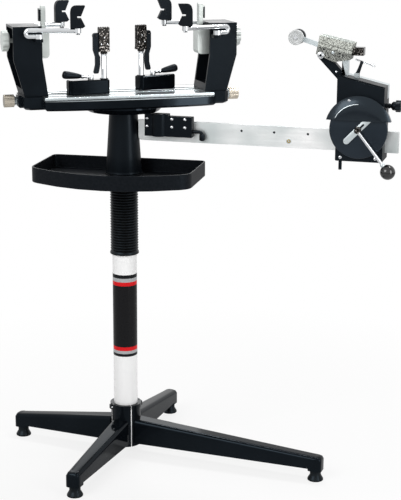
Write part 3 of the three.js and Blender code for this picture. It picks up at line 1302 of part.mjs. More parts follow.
// Trip lever: a short black handle with a thin rod and its end loop across the top
function tripShape() {
  const flat = new THREE.Vector3(0, 1, 0);
  const point = ([x, z]) => new THREE.Vector3(x, 0, z);
  const handle = bentRod([point([trip.pivotX, trip.pivotZ]), point([trip.topX, trip.topZ])],
    flat, trip.bodyRadius, sides.fine);
  const foot = cylinder(trip.bodyRadius, -trip.bodyRadius, trip.bodyRadius, sides.small, "y")
    .translate(trip.pivotX, 0, trip.pivotZ);
  const rod = bentRod([point(trip.rodStart), point(trip.rodEnd)], flat, trip.rodRadius);
  const [endX, endZ] = trip.rodEnd;
  const loopHalf = trip.rodRadius * tripLoopShare;
  const loop = cylinder(trip.loopRadius, -loopHalf, loopHalf, sides.fine, "y").translate(endX, 0, endZ);
  const eye = cylinder(trip.loopRadius - trip.rodRadius, -trip.bodyRadius, trip.bodyRadius, sides.pipe, "y")
    .translate(endX, 0, endZ);
  const pinHole = cylinder(
    boreRadius(trip.pinRadius, sides.fine), -2 * trip.bodyRadius, 2 * trip.bodyRadius, sides.fine, "y")
    .translate(trip.pivotX, 0, trip.pivotZ);
  return cut(join(handle, foot, rod, loop), eye, pinHole);
}

function addTensionHead() {
  machine.add(castAlloy("head_body", headBodyShape()));
  machine.add(blackPaint("head_cover", coverShape()));
  machine.add(castAlloy("gripper_body", gripperBodyShape()));
  machine.add(castAlloy("gripper_jaw", gripperJawShape()));
  machine.add(blackPlastic("tension_knob", place(dialShape(), 0, dial.y, dial.z)));
  machine.add(blackPaint("winder_disc", place(winderDiscShape(), winder.x, 0, winder.z)));
  machine.add(blackPaint("disc_guard", place(guardShape(), winder.x, 0, winder.z)));
  machine.add(brushedSteel("crank_arm", place(crankArmShape(), winder.x, 0, winder.z)));
  const ballTurn = radians(crank.rodTurn);
  machine.add(blackPlastic("crank_ball", place(
    crankBallShape(), winder.x + crank.rodReach * Math.cos(ballTurn), crank.rodY,
    winder.z + crank.rodReach * Math.sin(ballTurn))));
  machine.add(blackPlastic("guide_roller", place(rollerShape(), roller.x, 0, roller.z)));
  machine.add(blackPlastic("trip_lever", tripShape()));
}

addBase();
addColumn();
addTrayAndNeck();
addBar();
addTurntable();
addTensionHead();

// The part stands on the floor with the middle of its outline at the origin
const extent = new THREE.Box3().setFromObject(machine);
const middle = extent.getCenter(new THREE.Vector3());
machine.position.set(-middle.x, -middle.y, -extent.min.z);

export default machine;
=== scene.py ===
import json
from math import cos, inf, pi, radians, sin, tan

import bpy
from bpy.props import FloatProperty, FloatVectorProperty, PointerProperty
from mathutils import Matrix, Vector


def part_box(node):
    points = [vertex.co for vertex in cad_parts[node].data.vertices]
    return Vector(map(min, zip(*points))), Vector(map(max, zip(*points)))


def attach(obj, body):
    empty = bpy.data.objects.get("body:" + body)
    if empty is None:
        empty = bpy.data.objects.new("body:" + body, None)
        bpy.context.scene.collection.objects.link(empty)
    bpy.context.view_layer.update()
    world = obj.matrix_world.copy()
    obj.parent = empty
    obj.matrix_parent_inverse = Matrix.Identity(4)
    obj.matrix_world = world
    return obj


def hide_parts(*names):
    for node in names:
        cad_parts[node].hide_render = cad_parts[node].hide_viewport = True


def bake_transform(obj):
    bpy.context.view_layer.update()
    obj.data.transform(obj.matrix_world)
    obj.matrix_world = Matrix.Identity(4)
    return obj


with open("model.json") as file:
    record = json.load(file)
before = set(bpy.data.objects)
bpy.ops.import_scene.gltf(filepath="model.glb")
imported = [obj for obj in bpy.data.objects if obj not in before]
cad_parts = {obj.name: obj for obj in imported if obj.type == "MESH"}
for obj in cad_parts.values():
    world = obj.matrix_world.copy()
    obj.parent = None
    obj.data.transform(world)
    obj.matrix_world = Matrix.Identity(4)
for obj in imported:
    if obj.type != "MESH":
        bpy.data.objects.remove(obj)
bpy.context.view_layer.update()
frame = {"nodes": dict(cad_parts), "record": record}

bl_info = {
    "name": "Racket stringing machine",
    "version": (1, 0, 0),
    "blender": (4, 5, 0),
    "location": "3D View > Sidebar > Stringer",
    "description": "Finishes the stringing machine's pieces and sets up its studio",
    "category": "Object",
}

MM = 0.001
SIDES = ("left", "right")
HANDS = ("front", "back")

# Distances in metres within which corners are welded, and the bend in degrees that still counts as flat
WELD = 1e-6
CAD_WELD = 2e-6
FLAT_BEND = 0.8

# Turns are in degrees and sizes in millimetres, in the photograph's pose

# Stand: what rises above the cut in the legs' hub comes down by the drop
LEG_TURN = -4.96
HUB_CUT = 160
HUB_DROP = 25

# Turntable, with heights above the floor and the rest from its axis
TABLE_TURN = 33.08
SCREW_HEIGHT = 1062
ARM_KNOB_HEIGHT = 1226
ARM_SWING = 14.6
ARM_PIN_OUT = 250
ARM_PIN_BACK = 80
ARM_PIN_TOP = 1248.6
NUT_HEIGHT = 1247.75
CLAMP_TURN = {"left": 6.0, "right": 17.0}
CLAMP_PIVOT = {"left": -99.5, "right": 94.0}
TRACK_CENTRE = 30.0
POST_TO_LOCK = 39.0

# Tension head, measured along the bar from the column, behind it and above the floor
WINDER_ALONG = 676
WINDER_HEIGHT = 1010
CRANK_TURN = -51.3
CRANK_PLATE_TURN = 46
CASE_SPLIT = 12
CASE_SHOULDER = 1086
STRUT_FOOT = 619.8
GRIPPER_START = 562
GRIPPER_FALL = 12.26
GRIPPER_HALF_HEIGHT = 1224
GRIPPER_FACE = -25
GRIPPER_SCREW = (597, 1208)


# Places

def joint_place(name):
    """Where a joint's axis stands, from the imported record."""
    for joint in frame["record"]["behaviour"]["joints"]:
        if joint["name"] == name:
            return Vector(joint["pos_m"])
    raise ValueError(f"the record has no joint {name}")


COLUMN = joint_place("turntable_spin")
BAR = Matrix.Translation((COLUMN.x, COLUMN.y, 0))
TABLE = BAR @ Matrix.Rotation(radians(TABLE_TURN), 4, "Z")


def shifted(x, y, z):
    """A move by millimetres."""
    return Matrix.Translation(Vector((x, y, z)) * MM)


def turned_by(degrees, axis):
    return Matrix.Rotation(radians(degrees), 4, axis)


def hand_of(name):
    """-1 on the left or front, 1 on the right or back."""
    return -1 if name in ("left", "front") else 1


def arm_frame(side, hand):
    """The frame of an arm: X runs from the tower pin to the adapter pin, with heights above the floor."""
    out, back = hand_of(side), hand_of(hand)
    swing = radians(ARM_SWING)
    turn = Vector((-out * cos(swing), back * sin(swing))).angle_signed(Vector((1, 0)))
    return TABLE @ shifted(out * ARM_PIN_OUT, back * ARM_PIN_BACK, 0) @ Matrix.Rotation(turn, 4, "Z")


def clamp_frame(side):
    """The frame of a string clamp about its pivot, with the lock lever along its outer half."""
    out = hand_of(side)
    return TABLE @ shifted(CLAMP_PIVOT[side], out * TRACK_CENTRE, 0) @ turned_by(CLAMP_TURN[side], "Z")


def post_frame(side):
    return clamp_frame(side) @ shifted(-hand_of(side) * POST_TO_LOCK, 0, 0)


FACING_FRONT = turned_by(90, "X")
FACING_BACK = turned_by(-90, "X")
FACING_RIGHT = turned_by(90, "Y")
STOOD_UP = Matrix(((0, 0, 1, 0), (1, 0, 0, 0), (0, 1, 0, 0), (0, 0, 0, 1)))


def facing_out(side):
    """Lays a turned piece's axis outward on its side."""
    return turned_by(90 * hand_of(side), "Y")


def own_side(side):
    """Turns what is made for the right side to its own side."""
    return turned_by(0 if side == "right" else 180, "Z")


def along_bar(x, y, z):
    """A place by its way along the bar from the column, behind it and above the floor."""
    return BAR @ shifted(x, y, z)


def on_front(depth, *spots):
    """Places by (x, z) on a face that looks to the front, each with its Z out of the face."""
    return [along_bar(x, depth, z) @ FACING_FRONT for x, z in spots]


WINDER = along_bar(WINDER_ALONG, 0, WINDER_HEIGHT) @ FACING_FRONT


# Modelling

def clear_selection():
    if bpy.context.mode != "OBJECT":
        bpy.ops.object.mode_set(mode="OBJECT")
    bpy.ops.object.select_all(action="DESELECT")


def pick(piece):
    clear_selection()
    piece.select_set(True)
    bpy.context.view_layer.objects.active = piece


def edit(piece, select="SELECT"):
    pick(piece)
    bpy.ops.object.mode_set(mode="EDIT")
    bpy.ops.mesh.select_all(action=select)


def chain(name, points):
    """A run of edges through points given in millimetres, drawn from one vertex, left in edit mode."""
    clear_selection()
    bpy.ops.mesh.primitive_plane_add(size=MM)
    piece = bpy.context.active_object
    piece.name = name
    edit(piece)
    bpy.ops.mesh.merge(type="CENTER")
    at = Vector(points[0]) * MM
    bpy.ops.transform.translate(value=at)
    for point in points[1:]:
        spot = Vector(point) * MM
        bpy.ops.mesh.extrude_vertices_move(TRANSFORM_OT_translate={"value": spot - at})
        at = spot
    bpy.ops.mesh.select_all(action="SELECT")
    return piece


def closed_skin():
    """Welds and turns outward what is being edited, and leaves edit mode."""
    bpy.ops.mesh.select_all(action="SELECT")
    bpy.ops.mesh.remove_doubles(threshold=WELD)
    bpy.ops.mesh.normals_make_consistent(inside=False)
    bpy.ops.object.mode_set(mode="OBJECT")


def lathe(name, profile, steps=40):
    """A profile of (radius, height) points in millimetres, spun round the Z axis."""
    piece = chain(name, [(radius, 0, height) for radius, height in profile])
    bpy.ops.mesh.spin(steps=steps, angle=2 * pi, center=(0, 0, 0), axis=(0, 0, 1))
    closed_skin()
    return piece


def lathed(name, profile, steps=40, angle=40):
    """A turned piece with smooth shading."""
    return smooth(lathe(name, profile, steps), angle)


def plate(name, outline, thickness):
    """An outline of (x, y) points in millimetres, filled and drawn up by its thickness."""
    piece = chain(name, [(x, y, 0) for x, y in outline])
    bpy.ops.mesh.edge_face_add()
    bpy.ops.mesh.extrude_region_move(TRANSFORM_OT_translate={"value": (0, 0, thickness * MM)})
    closed_skin()
    return piece


def pipe(name, points, radius, shares=None, rings=6):
    """A round rod through points in millimetres; shares thin or thicken it from point to point."""
    clear_selection()
    bpy.ops.curve.primitive_nurbs_path_add()
    piece = bpy.context.active_object
    piece.name = name
    curve = piece.data
    curve.splines.clear()
    run = curve.splines.new("POLY")
    run.points.add(len(points) - 1)
    for spot, point in zip(run.points, points):
        spot.co = (*(Vector(point) * MM), 1)
    for spot, share in zip(run.points, shares or []):
        spot.radius = share
    curve.bevel_depth = radius * MM
    curve.bevel_resolution = rings
    curve.use_fill_caps = True
    bpy.ops.object.convert(target="MESH")
    piece = bpy.context.active_object
    edit(piece)
    closed_skin()
    return piece


def finish_with(piece, kind, **settings):
    """Adds one modifier and applies it."""
    pick(piece)
    bpy.ops.object.modifier_add(type=kind)
    modifier = piece.modifiers[-1]
    for key, value in settings.items():
        setattr(modifier, key, value)
    bpy.ops.object.modifier_apply(modifier=modifier.name)
    return piece


def rounded(piece, width, segments=2, angle=35):
    """Rounds every edge sharper than the angle, by a width in millimetres."""
    return finish_with(
        piece, "BEVEL", width=width * MM, segments=segments, limit_method="ANGLE",
        angle_limit=radians(angle), use_clamp_overlap=True)


def smooth(piece, angle=32):
    pick(piece)
    bpy.ops.object.shade_smooth_by_angle(angle=radians(angle))
    return piece


def firm(piece):
    """Smooth shading that keeps the large faces flat."""
    return finish_with(smooth(piece), "WEIGHTED_NORMAL", keep_sharp=True, weight=100)


def joined(piece, *others):
    """Several meshes made one piece."""
    pick(piece)
    for other in others:
        other.select_set(True)
    bpy.ops.object.join()
    return piece


def trimmed(piece, *cuts):
    """Cuts away what lies behind planes, each a point in millimetres and the way towards what stays."""
    edit(piece)
    for spot, way in cuts:
        bpy.ops.mesh.select_all(action="SELECT")
        bpy.ops.mesh.bisect(plane_co=Vector(spot) * MM, plane_no=way, clear_inner=True, use_fill=True)
    closed_skin()
    return piece


def place(piece, matrix):
    """Moves a piece to its place and puts that place into its mesh."""
    piece.matrix_world = matrix @ piece.matrix_world
    pick(piece)
    bpy.ops.object.transform_apply(location=True, rotation=True, scale=True)
    return piece


def twin(piece, name):
    """A copy with its own mesh."""
    other = piece.copy()
    other.data = piece.data.copy()
    other.name = name
    bpy.context.scene.collection.objects.link(other)
    return other


def dressed(node, width, segments, angle):
    """A welded copy of a CAD node with its flat faces whole again and its edges rounded."""
    piece = bpy.data.objects.new(node + "_finished", frame["nodes"][node].data.copy())
    bpy.context.scene.collection.objects.link(piece)
    edit(piece)
    bpy.ops.mesh.remove_doubles(threshold=CAD_WELD)
    bpy.ops.mesh.dissolve_limited(angle_limit=radians(FLAT_BEND))
    bpy.ops.object.mode_set(mode="OBJECT")
    return firm(rounded(piece, width, segments, angle))


def nudged(piece, low, high, rise):
    """Raises what lies between two heights, all in millimetres."""
    edit(piece, "DESELECT")
    bpy.ops.mesh.select_mode(type="VERT")
    bpy.ops.object.mode_set(mode="OBJECT")
    for corner in piece.data.vertices:
        corner.select = low * MM < corner.co.z < high * MM
    bpy.ops.object.mode_set(mode="EDIT")
    bpy.ops.transform.translate(value=(0, 0, rise * MM))
    bpy.ops.object.mode_set(mode="OBJECT")
    return piece


def paint(piece, finish, slot, body, *nodes):
    """Gives a piece its finish and the body it rides on, and hides the nodes it stands for; the slot is not
    used.
    """
    piece.data.materials.clear()
    piece.data.materials.append(FINISHES[finish]())
    if body:
        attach(piece, body)
    if nodes:
        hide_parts(*nodes)
    return piece


def whole(node, edges, finish, slot, body):
    """A CAD node with its edges rounded by width, steps and angle, and its finish."""
    return paint(dressed(node, *edges), finish, slot, body, node)


def under(node):
    """The place on the floor under the middle of a node."""
    low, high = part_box(node)
    return Matrix.Translation(((low.x + high.x) / 2, (low.y + high.y) / 2, 0))


def arc(centre_x, centre_y, radius, start, end, steps):
    """Points on an arc, its ends in degrees."""
    turns = [radians(start + (end - start) * at / steps) for at in range(steps + 1)]
    return [(centre_x + radius * cos(turn), centre_y + radius * sin(turn)) for turn in turns]


def rectangle(left, low, right, high):
    return [(left, low), (right, low), (right, high), (left, high)]


def scalloped(lobes, steps, reach, depth, sharpness):
    """An outline with lobes: its reach and the depth of its hollows, which narrow with sharpness."""
    outline = []
    for at in range(lobes * steps):
        turn = 2 * pi * at / (lobes * steps)
        radius = reach - depth * (0.5 - 0.5 * cos(lobes * turn)) ** sharpness
        outline.append((radius * cos(turn), radius * sin(turn)))
    return outline


def dome(name, radius, height, socket=0.42):
    """A screw head with a socket, standing on Z = 0."""
    inner = radius * socket
    return lathed(name, [
        (0, height * 0.35), (inner, height * 0.35), (inner, height * 0.97), (radius * 0.78, height * 0.8),
        (radius * 0.95, height * 0.5), (radius, height * 0.15), (radius, 0), (0, 0),
    ], 24)


def hexagon(name, radius, height):
    """A six-sided nut or bolt head with rounded corners, standing on Z = 0."""
    return smooth(rounded(plate(name, arc(0, 0, radius, 0, 300, 5), height), radius * 0.08))


def scatter(source, matrices, finish, slot, body, name):
    """Copies one small piece to several places."""
    for count, matrix in enumerate(matrices, 1):
        paint(place(twin(source, f"{name}_{count}"), matrix), finish, slot, body)
    bpy.data.objects.remove(source)


# Finishes

class Value:
    """A number in a shader, on which sums can be written as in Python."""

    def __init__(self, tree, socket):
        self.tree = tree
        self.socket = socket

    def maths(self, operation, other, swapped=False):
        node = self.tree.nodes.new("ShaderNodeMath")
        node.operation = operation
        terms = (other, self) if swapped else (self, other)
        for socket, term in zip(node.inputs, terms):
            if isinstance(term, Value):
                self.tree.links.new(term.socket, socket)
            else:
                socket.default_value = term
        return Value(self.tree, node.outputs[0])

    def __add__(self, other):
        return self.maths("ADD", other)

    def __radd__(self, other):
        return self.maths("ADD", other, True)

    def __sub__(self, other):
        return self.maths("SUBTRACT", other)

    def __rsub__(self, other):
        return self.maths("SUBTRACT", other, True)

    def __mul__(self, other):
        return self.maths("MULTIPLY", other)

    def __rmul__(self, other):
        return self.maths("MULTIPLY", other, True)

    def __gt__(self, other):
        return self.maths("GREATER_THAN", other)

    def __lt__(self, other):
        return self.maths("LESS_THAN", other)


class Nodes:
    """The nodes of a material or a sky."""

    def __init__(self, tree):
        self.tree = tree

    def node(self, kind, settings=None, **sockets):
        """Any node: its settings first, then values or links for its sockets by name."""
        made = self.tree.nodes.new(kind)
        for key, value in (settings or {}).items():
            setattr(made, key, value)
        for key, value in sockets.items():
            self.feed(made.inputs[key.replace("_", " ")], value)
        return made

    def feed(self, socket, value):
        value = value.socket if isinstance(value, Value) else value
        if isinstance(value, bpy.types.NodeSocket):
            self.tree.links.new(value, socket)
        else:
            socket.default_value = value

    def blend(self, factor, first, second, output):
        """Mixes two shaders into an output node's surface."""
        made = self.node("ShaderNodeMixShader")
        for socket, value in zip(made.inputs, (factor, first, second)):
            self.feed(socket, value)
        self.feed(output.inputs["Surface"], made.outputs["Shader"])


class Finish(Nodes):
    """A material being mixed: its shader and the patterns it is made from."""

    def __init__(self, name):
        self.material = bpy.data.materials.new(name)
        self.material.use_nodes = True
        super().__init__(self.material.node_tree)
        self.shader = self.tree.nodes["Principled BSDF"]
        self.object_place = self.node("ShaderNodeTexCoord").outputs["Object"]

    def set(self, **sockets):
        """Sockets of the shader, by name with underscores for spaces."""
        for key, value in sockets.items():
            self.feed(self.shader.inputs[key.replace("_", " ")], value)
        return self

    def stretched(self, x, y, z):
        """Object coordinates stretched along the axes, for grain that runs one way."""
        return self.node("ShaderNodeMapping", Vector=self.object_place, Scale=(x, y, z)).outputs["Vector"]

    def along(self, turn, x, y, z):
        """Object coordinates turned about Z, then stretched, for lines that run along a turned piece."""
        turned = self.node("ShaderNodeMapping", Vector=self.object_place, Rotation=(0, 0, -radians(turn)))
        made = self.node("ShaderNodeMapping", Vector=turned.outputs["Vector"], Scale=(x, y, z))
        return made.outputs["Vector"]

    def noise(self, scale, detail, roughness=0.5, vector=None):
        made = self.node(
            "ShaderNodeTexNoise", Vector=vector or self.object_place, Scale=scale, Detail=detail,
            Roughness=roughness)
        return Value(self.tree, made.outputs["Fac"])

    def cells(self, scale):
        made = self.node("ShaderNodeTexVoronoi", Vector=self.object_place, Scale=scale)
        return Value(self.tree, made.outputs["Distance"])

    def position(self, axis):
        """The X, Y or Z of a point, in metres."""
        made = self.node("ShaderNodeSeparateXYZ", Vector=self.object_place)
        return Value(self.tree, made.outputs[axis])

    def spread(self, value, low, high, to_low=0.0, to_high=1.0):
        made = self.node(
            "ShaderNodeMapRange", Value=value, From_Min=low, From_Max=high, To_Min=to_low, To_Max=to_high)
        return Value(self.tree, made.outputs["Result"])

    def mix(self, factor, first, second):
        made = self.node("ShaderNodeMix", {"data_type": "RGBA"})
        for at, value in ((0, factor), (6, first), (7, second)):
            self.feed(made.inputs[at], value)
        return made.outputs[2]

    def shades(self, factor, colour, dark, light):
        """A colour between two tones of it, each given as a share."""
        return self.mix(factor, tone(colour, dark), tone(colour, light))

    def gloss(self, pattern, low, high):
        """Roughness between two values, after a pattern."""
        return self.spread(pattern, 0.3, 0.7, low, high)

    def bump(self, height, distance, strength=1.0):
        made = self.node("ShaderNodeBump", Height=height, Distance=distance * MM, Strength=strength)
        return self.set(Normal=made.outputs["Normal"])


def tone(colour, share):
    """A colour made lighter or darker by a share."""
    return tuple(min(channel * share, 1.0) for channel in colour[:3]) + (1.0,)


def colours():
    return bpy.context.scene.stringer_colours


def kept(maker):
    """Mixes a finish once and hands the same material out afterwards."""
    made = {}

    def ready():
        if "material" not in made:
            made["material"] = maker()
        return made["material"]
    return ready


def clouded(name, colour, tones, rough, cloud, relief, **sockets):
    """Soft clouds in colour and gloss, from low to high tones and roughness, over a fine relief."""
    finish = Finish(name)
    pattern = finish.noise(*cloud)
    finish.set(
        Base_Color=finish.shades(pattern, colour, *tones), Roughness=finish.gloss(pattern, *rough), **sockets)
    *fine, depth = relief
    return finish.bump(finish.noise(*fine), depth).material


def semi_gloss(name, colour, rough, grain, relief, coat=0.03, specular=0.12):
    """Black powder coat: fine orange peel, faint cloudy gloss."""
    finish = Finish(name)
    cloud = finish.noise(14, 2)
    peel = finish.noise(grain, 2)
    finish.set(
        Base_Color=finish.shades(finish.spread(cloud, 0.35, 0.65), colour, 0.85, 1.2),
        Roughness=finish.gloss(cloud, rough - 0.04, rough + 0.05),
        Coat_Weight=coat, Coat_Roughness=0.12, Specular_IOR_Level=specular, Specular_Tint=colours().sheen)
    return finish.bump(peel, relief).material


def black_coat():
    return semi_gloss("black_coat", colours().coat, 0.34, 900, 0.05)


def leg_coat():
    return semi_gloss("leg_coat", colours().coat, 0.08, 500, 0.01, 0.0, 0.12)


def clamp_coat():
    return semi_gloss("clamp_coat", tone(colours().coat, 0.7), 0.14, 900, 0.02, 0.0, 0.07)


def head_coat():
    return semi_gloss("head_coat", colours().coat, 0.32, 1800, 0.03, 0.05, 0.16)


def deck_coat():
    return semi_gloss("deck_coat", colours().coat, 0.1, 700, 0.01, 0.0, 0.25)


def guard_coat():
    return semi_gloss("guard_coat", tone(colours().coat, 1.5), 0.24, 1200, 0.02, 0.1, 0.35)


def disc_coat():
    return semi_gloss("disc_coat", tone(colours().coat, 3.4), 0.3, 1200, 0.02, 0.05, 0.3)


def tray_texture():
    """Moulded tray: close leathery pebbles under a dull gloss."""
    finish = Finish("tray_texture")
    pebbles = finish.cells(420)
    speck = finish.noise(160, 4, 0.6)
    finish.set(
        Base_Color=finish.shades(finish.spread(speck, 0.4, 0.72), colours().plastic, 0.5, 1.5),
        Roughness=finish.spread(pebbles, 0, 0.6, 0.3, 0.44), Specular_IOR_Level=0.14,
        Specular_Tint=colours().sheen)
    return finish.bump(pebbles, 0.25, 0.6).material


def moulded_black():
    return clouded(
        "moulded_black", colours().plastic, (0.8, 1.25), (0.37, 0.48), (60, 3), (1500, 2, 0.04),
        Specular_IOR_Level=0.18, Specular_Tint=colours().sheen)


def ball_gloss():
    """Turned phenolic ball: deep black, polished."""
    return clouded(
        "ball_gloss", colours().plastic, (0.5, 0.7), (0.03, 0.06), (40, 2), (220, 1, 0.01),
        Specular_IOR_Level=0.7)


def soft_rubber():
    finish = Finish("soft_rubber")
    dust = finish.noise(90, 4, 0.6)
    finish.set(
        Base_Color=finish.shades(finish.spread(dust, 0.45, 0.75), colours().rubber, 0.8, 1.7),
        Roughness=finish.gloss(dust, 0.3, 0.42), Specular_IOR_Level=0.18, Specular_Tint=colours().sheen)
    return finish.bump(finish.noise(1400, 2), 0.06).material


def white_enamel():
    """White baked enamel on the tube: even, faintly peeled gloss."""
    return clouded(
        "white_enamel", colours().tube, (0.97, 1.0), (0.2, 0.28), (18, 2), (420, 1, 0.03),
        Coat_Weight=0.4, Coat_Roughness=0.08)


def banded_film():
    """The printed film round the tube: rings, silver and coloured bands and a bare black panel."""
    finish = Finish("banded_film")
    height = finish.position("Z")
    band = bpy.context.scene.stringer_sizes
    colour = tone(colours().coat, 1)
    for edge, next_colour in (
            (band.low_ring, colours().silver), (band.low_silver, colours().band),
            (band.low_band, colours().panel), (band.high_band, colours().band),
            (band.high_silver, colours().silver), (band.high_ring, colours().coat)):
        colour = finish.mix(height > edge, colour, tone(next_colour, 1))
    wear = finish.noise(70, 3)
    finish.set(Base_Color=colour, Roughness=finish.gloss(wear, 0.24, 0.34), Specular_IOR_Level=0.14)
    return finish.bump(finish.noise(260, 1), 0.02).material


def drawn_metal(name, colour, rough, grain, metallic, relief=0.02, blotch=0.18):
    """Metal with a grain drawn along X, and broad soft blotches as plated steel has."""
    finish = Finish(name)
    lines = finish.noise(1, 4, 0.6, finish.stretched(*grain))
    clouds = finish.noise(7, 2)
    finish.set(
        Base_Color=finish.shades(finish.spread(clouds, 0.35, 0.7), colour, 1.0 - blotch, 1.08),
        Metallic=metallic, Roughness=finish.gloss(lines, rough - 0.05, rough + 0.08))
    return finish.bump(lines, relief).material


def plated_bar():
    return drawn_metal("plated_bar", tone(colours().steel, 1.5), 0.36, (5, 300, 300), 0.8, 0.01, 0.34)


def track_steel():
    """Ground steel: broad bright streaks, near-black streaks painted as the shade in the track's slots, and
    fine scratches along the track.
    """
    finish = Finish("track_steel")
    # The dark streaks reach near black: painted shade of the slots, not a tone of the steel
    streaks_and_slot_shade = finish.spread(finish.noise(1, 2, 0.5, finish.along(TABLE_TURN, 0.5, 50, 1)), 0.46, 0.5)
    scratches = finish.noise(1, 3, 0.6, finish.along(TABLE_TURN, 5, 700, 1))
    finish.set(
        Base_Color=finish.shades(streaks_and_slot_shade, colours().steel, 0.03, 1.2),
        Metallic=1.0, Roughness=finish.gloss(scratches, 0.16, 0.3) + (1 - streaks_and_slot_shade) * 0.45)
    return finish.bump(scratches, 0.01).material


def link_steel():
    return drawn_metal("link_steel", colours().steel, 0.3, (40, 300, 120), 0.8)


def crank_steel():
    return drawn_metal("crank_steel", colours().steel, 0.3, (160, 20, 160), 0.9)


def polished_chrome():
    """Bright plating: nearly clear mirror with a slight waviness."""
    return clouded(
        "polished_chrome", colours().chrome, (0.92, 1.04), (0.07, 0.13), (30, 2), (60, 1, 0.006),
        Metallic=1.0)


def turned_nickel():
    """Warm nickel plate with fine turning marks round the knob."""
    finish = Finish("turned_nickel")
    marks = finish.noise(1, 3, 0.5, finish.stretched(900, 60, 60))
    finish.set(
        Base_Color=finish.shades(marks, colours().nickel, 0.8, 1.1),
        Metallic=1.0, Roughness=finish.gloss(marks, 0.22, 0.34))
    return finish.bump(marks, 0.03).material


def dark_nickel():
    """Smoked plate on the string clamps' heads: a dark tone with bright specks painted in as glints."""
    finish = Finish("dark_nickel")
    cloud = finish.noise(230, 3)
    # The bright specks of the colour are painted glints
    finish.set(
        Base_Color=finish.shades(finish.spread(cloud, 0.55, 0.68), colours().smoke, 0.08, 2.6),
        Metallic=1.0, Roughness=finish.gloss(cloud, 0.2, 0.34))
    return finish.bump(finish.noise(700, 2), 0.05).material


def satin_silver():
    """Silver paint on castings: soft grain, pale and slightly green."""
    finish = Finish("satin_silver")
    grain = finish.noise(700, 3)
    cloud = finish.noise(25, 2)
    finish.set(
        Base_Color=finish.shades(finish.spread(cloud, 0.3, 0.7), colours().silver_paint, 0.88, 1.05),
        Metallic=0.55, Roughness=finish.gloss(grain, 0.34, 0.48))
    return finish.bump(grain, 0.04).material


def sand_cast():
    """Bare sand-cast block of the gripper: grey with dark specks and pits, darker in its lower half."""
    finish = Finish("sand_cast")
    fall = tan(radians(GRIPPER_FALL))
    half_way = (GRIPPER_START * MM + COLUMN.x) * fall + GRIPPER_HALF_HEIGHT * MM
    upper = finish.spread(finish.position("X") * fall + finish.position("Z"), half_way - MM, half_way + MM)
    pits = finish.noise(400, 3, 0.6)
    specks = finish.cells(260)
    grain = finish.spread(pits, 0.43, 0.57)
    dark = finish.shades(grain, colours().casting, 0.08, 1.4)
    light = finish.shades(grain, colours().casting, 0.6, 2.5)
    colour = finish.mix(specks < 0.2, finish.mix(upper, dark, light), tone(colours().casting, 0.1))
    finish.set(Base_Color=colour, Metallic=0.7, Roughness=finish.gloss(pits, 0.35, 0.55))
    return finish.bump(pits, 0.35, 0.7).material


def milky_nylon():
    """Clear nylon disc, frosted."""
    return clouded(
        "milky_nylon", colours().nylon, (0.92, 1.0), (0.18, 0.3), (90, 2), (500, 1, 0.02),
        Transmission_Weight=0.35, IOR=1.5)


def plain_brass():
    return clouded(
        "plain_brass", colours().brass, (0.7, 1.1), (0.22, 0.36), (200, 3), (900, 2, 0.04), Metallic=1.0)


def studio_floor():
    """Pale seamless floor that keeps the soft shadow."""
    finish = Finish("studio_floor")
    finish.set(Base_Color=tone(colours().backdrop, 1), Roughness=0.9, Specular_IOR_Level=0.1)
    glow = finish.node("ShaderNodeEmission", Color=(1, 1, 1, 1), Strength=1.0)
    path = finish.node("ShaderNodeLightPath")
    seen = Value(finish.tree, path.outputs["Is Camera Ray"])
    reach = finish.node("ShaderNodeVectorMath", {"operation": "LENGTH"}, Vector=finish.object_place)
    glow_near = bpy.context.scene.stringer_studio.floor_glow
    share = finish.spread(reach.outputs["Value"], 0.3, 1.6, glow_near, 1.0)
    finish.blend(
        seen * share, finish.shader.outputs["BSDF"], glow.outputs["Emission"],
        finish.tree.nodes["Material Output"])
    return finish.material


FINISHES = {maker.__name__: kept(maker) for maker in (
    black_coat, leg_coat, clamp_coat, deck_coat, head_coat, guard_coat, disc_coat, tray_texture,
    moulded_black, ball_gloss, soft_rubber, white_enamel, banded_film, plated_bar, track_steel, link_steel,
    crank_steel, polished_chrome, turned_nickel, dark_nickel, satin_silver, sand_cast, milky_nylon,
    plain_brass, studio_floor)}


# Settings

def length(name, description, default):
    return FloatProperty(name=name, description=description, default=default * MM, unit="LENGTH", precision=4)


def colour(name, description, default):
    return FloatVectorProperty(
        name=name, description=description, default=(*default, 1.0), size=4, subtype="COLOR", min=0, max=1)


def rotation(name, description, default):
    return FloatProperty(name=name, description=description, default=radians(default), unit="ROTATION")


def wattage(name, description, default):
    return FloatProperty(name=name, description=description, default=default, unit="POWER")


class StringerSizes(bpy.types.PropertyGroup):
    """Edges and bands of the printed film round the tube, and its thickness."""
    film_bottom: length("Film bottom", "Lower edge of the film round the tube", 305)
    film_top: length("Film top", "Upper edge of the film round the tube", 551.5)
    low_ring: length("Lower ring top", "Top of the lower black ring", 313.5)
    low_silver: length("Lower silver top", "Top of the lower silver band", 322.5)
    low_band: length("Lower band top", "Top of the lower coloured band", 334)
    high_band: length("Upper band bottom", "Bottom of the upper coloured band", 518.5)
    high_silver: length("Upper silver bottom", "Bottom of the upper silver band", 530)
    high_ring: length("Upper ring bottom", "Bottom of the upper black ring", 541)
    film_stand: length("Film thickness", "How far the film stands off the tube", 0.25)


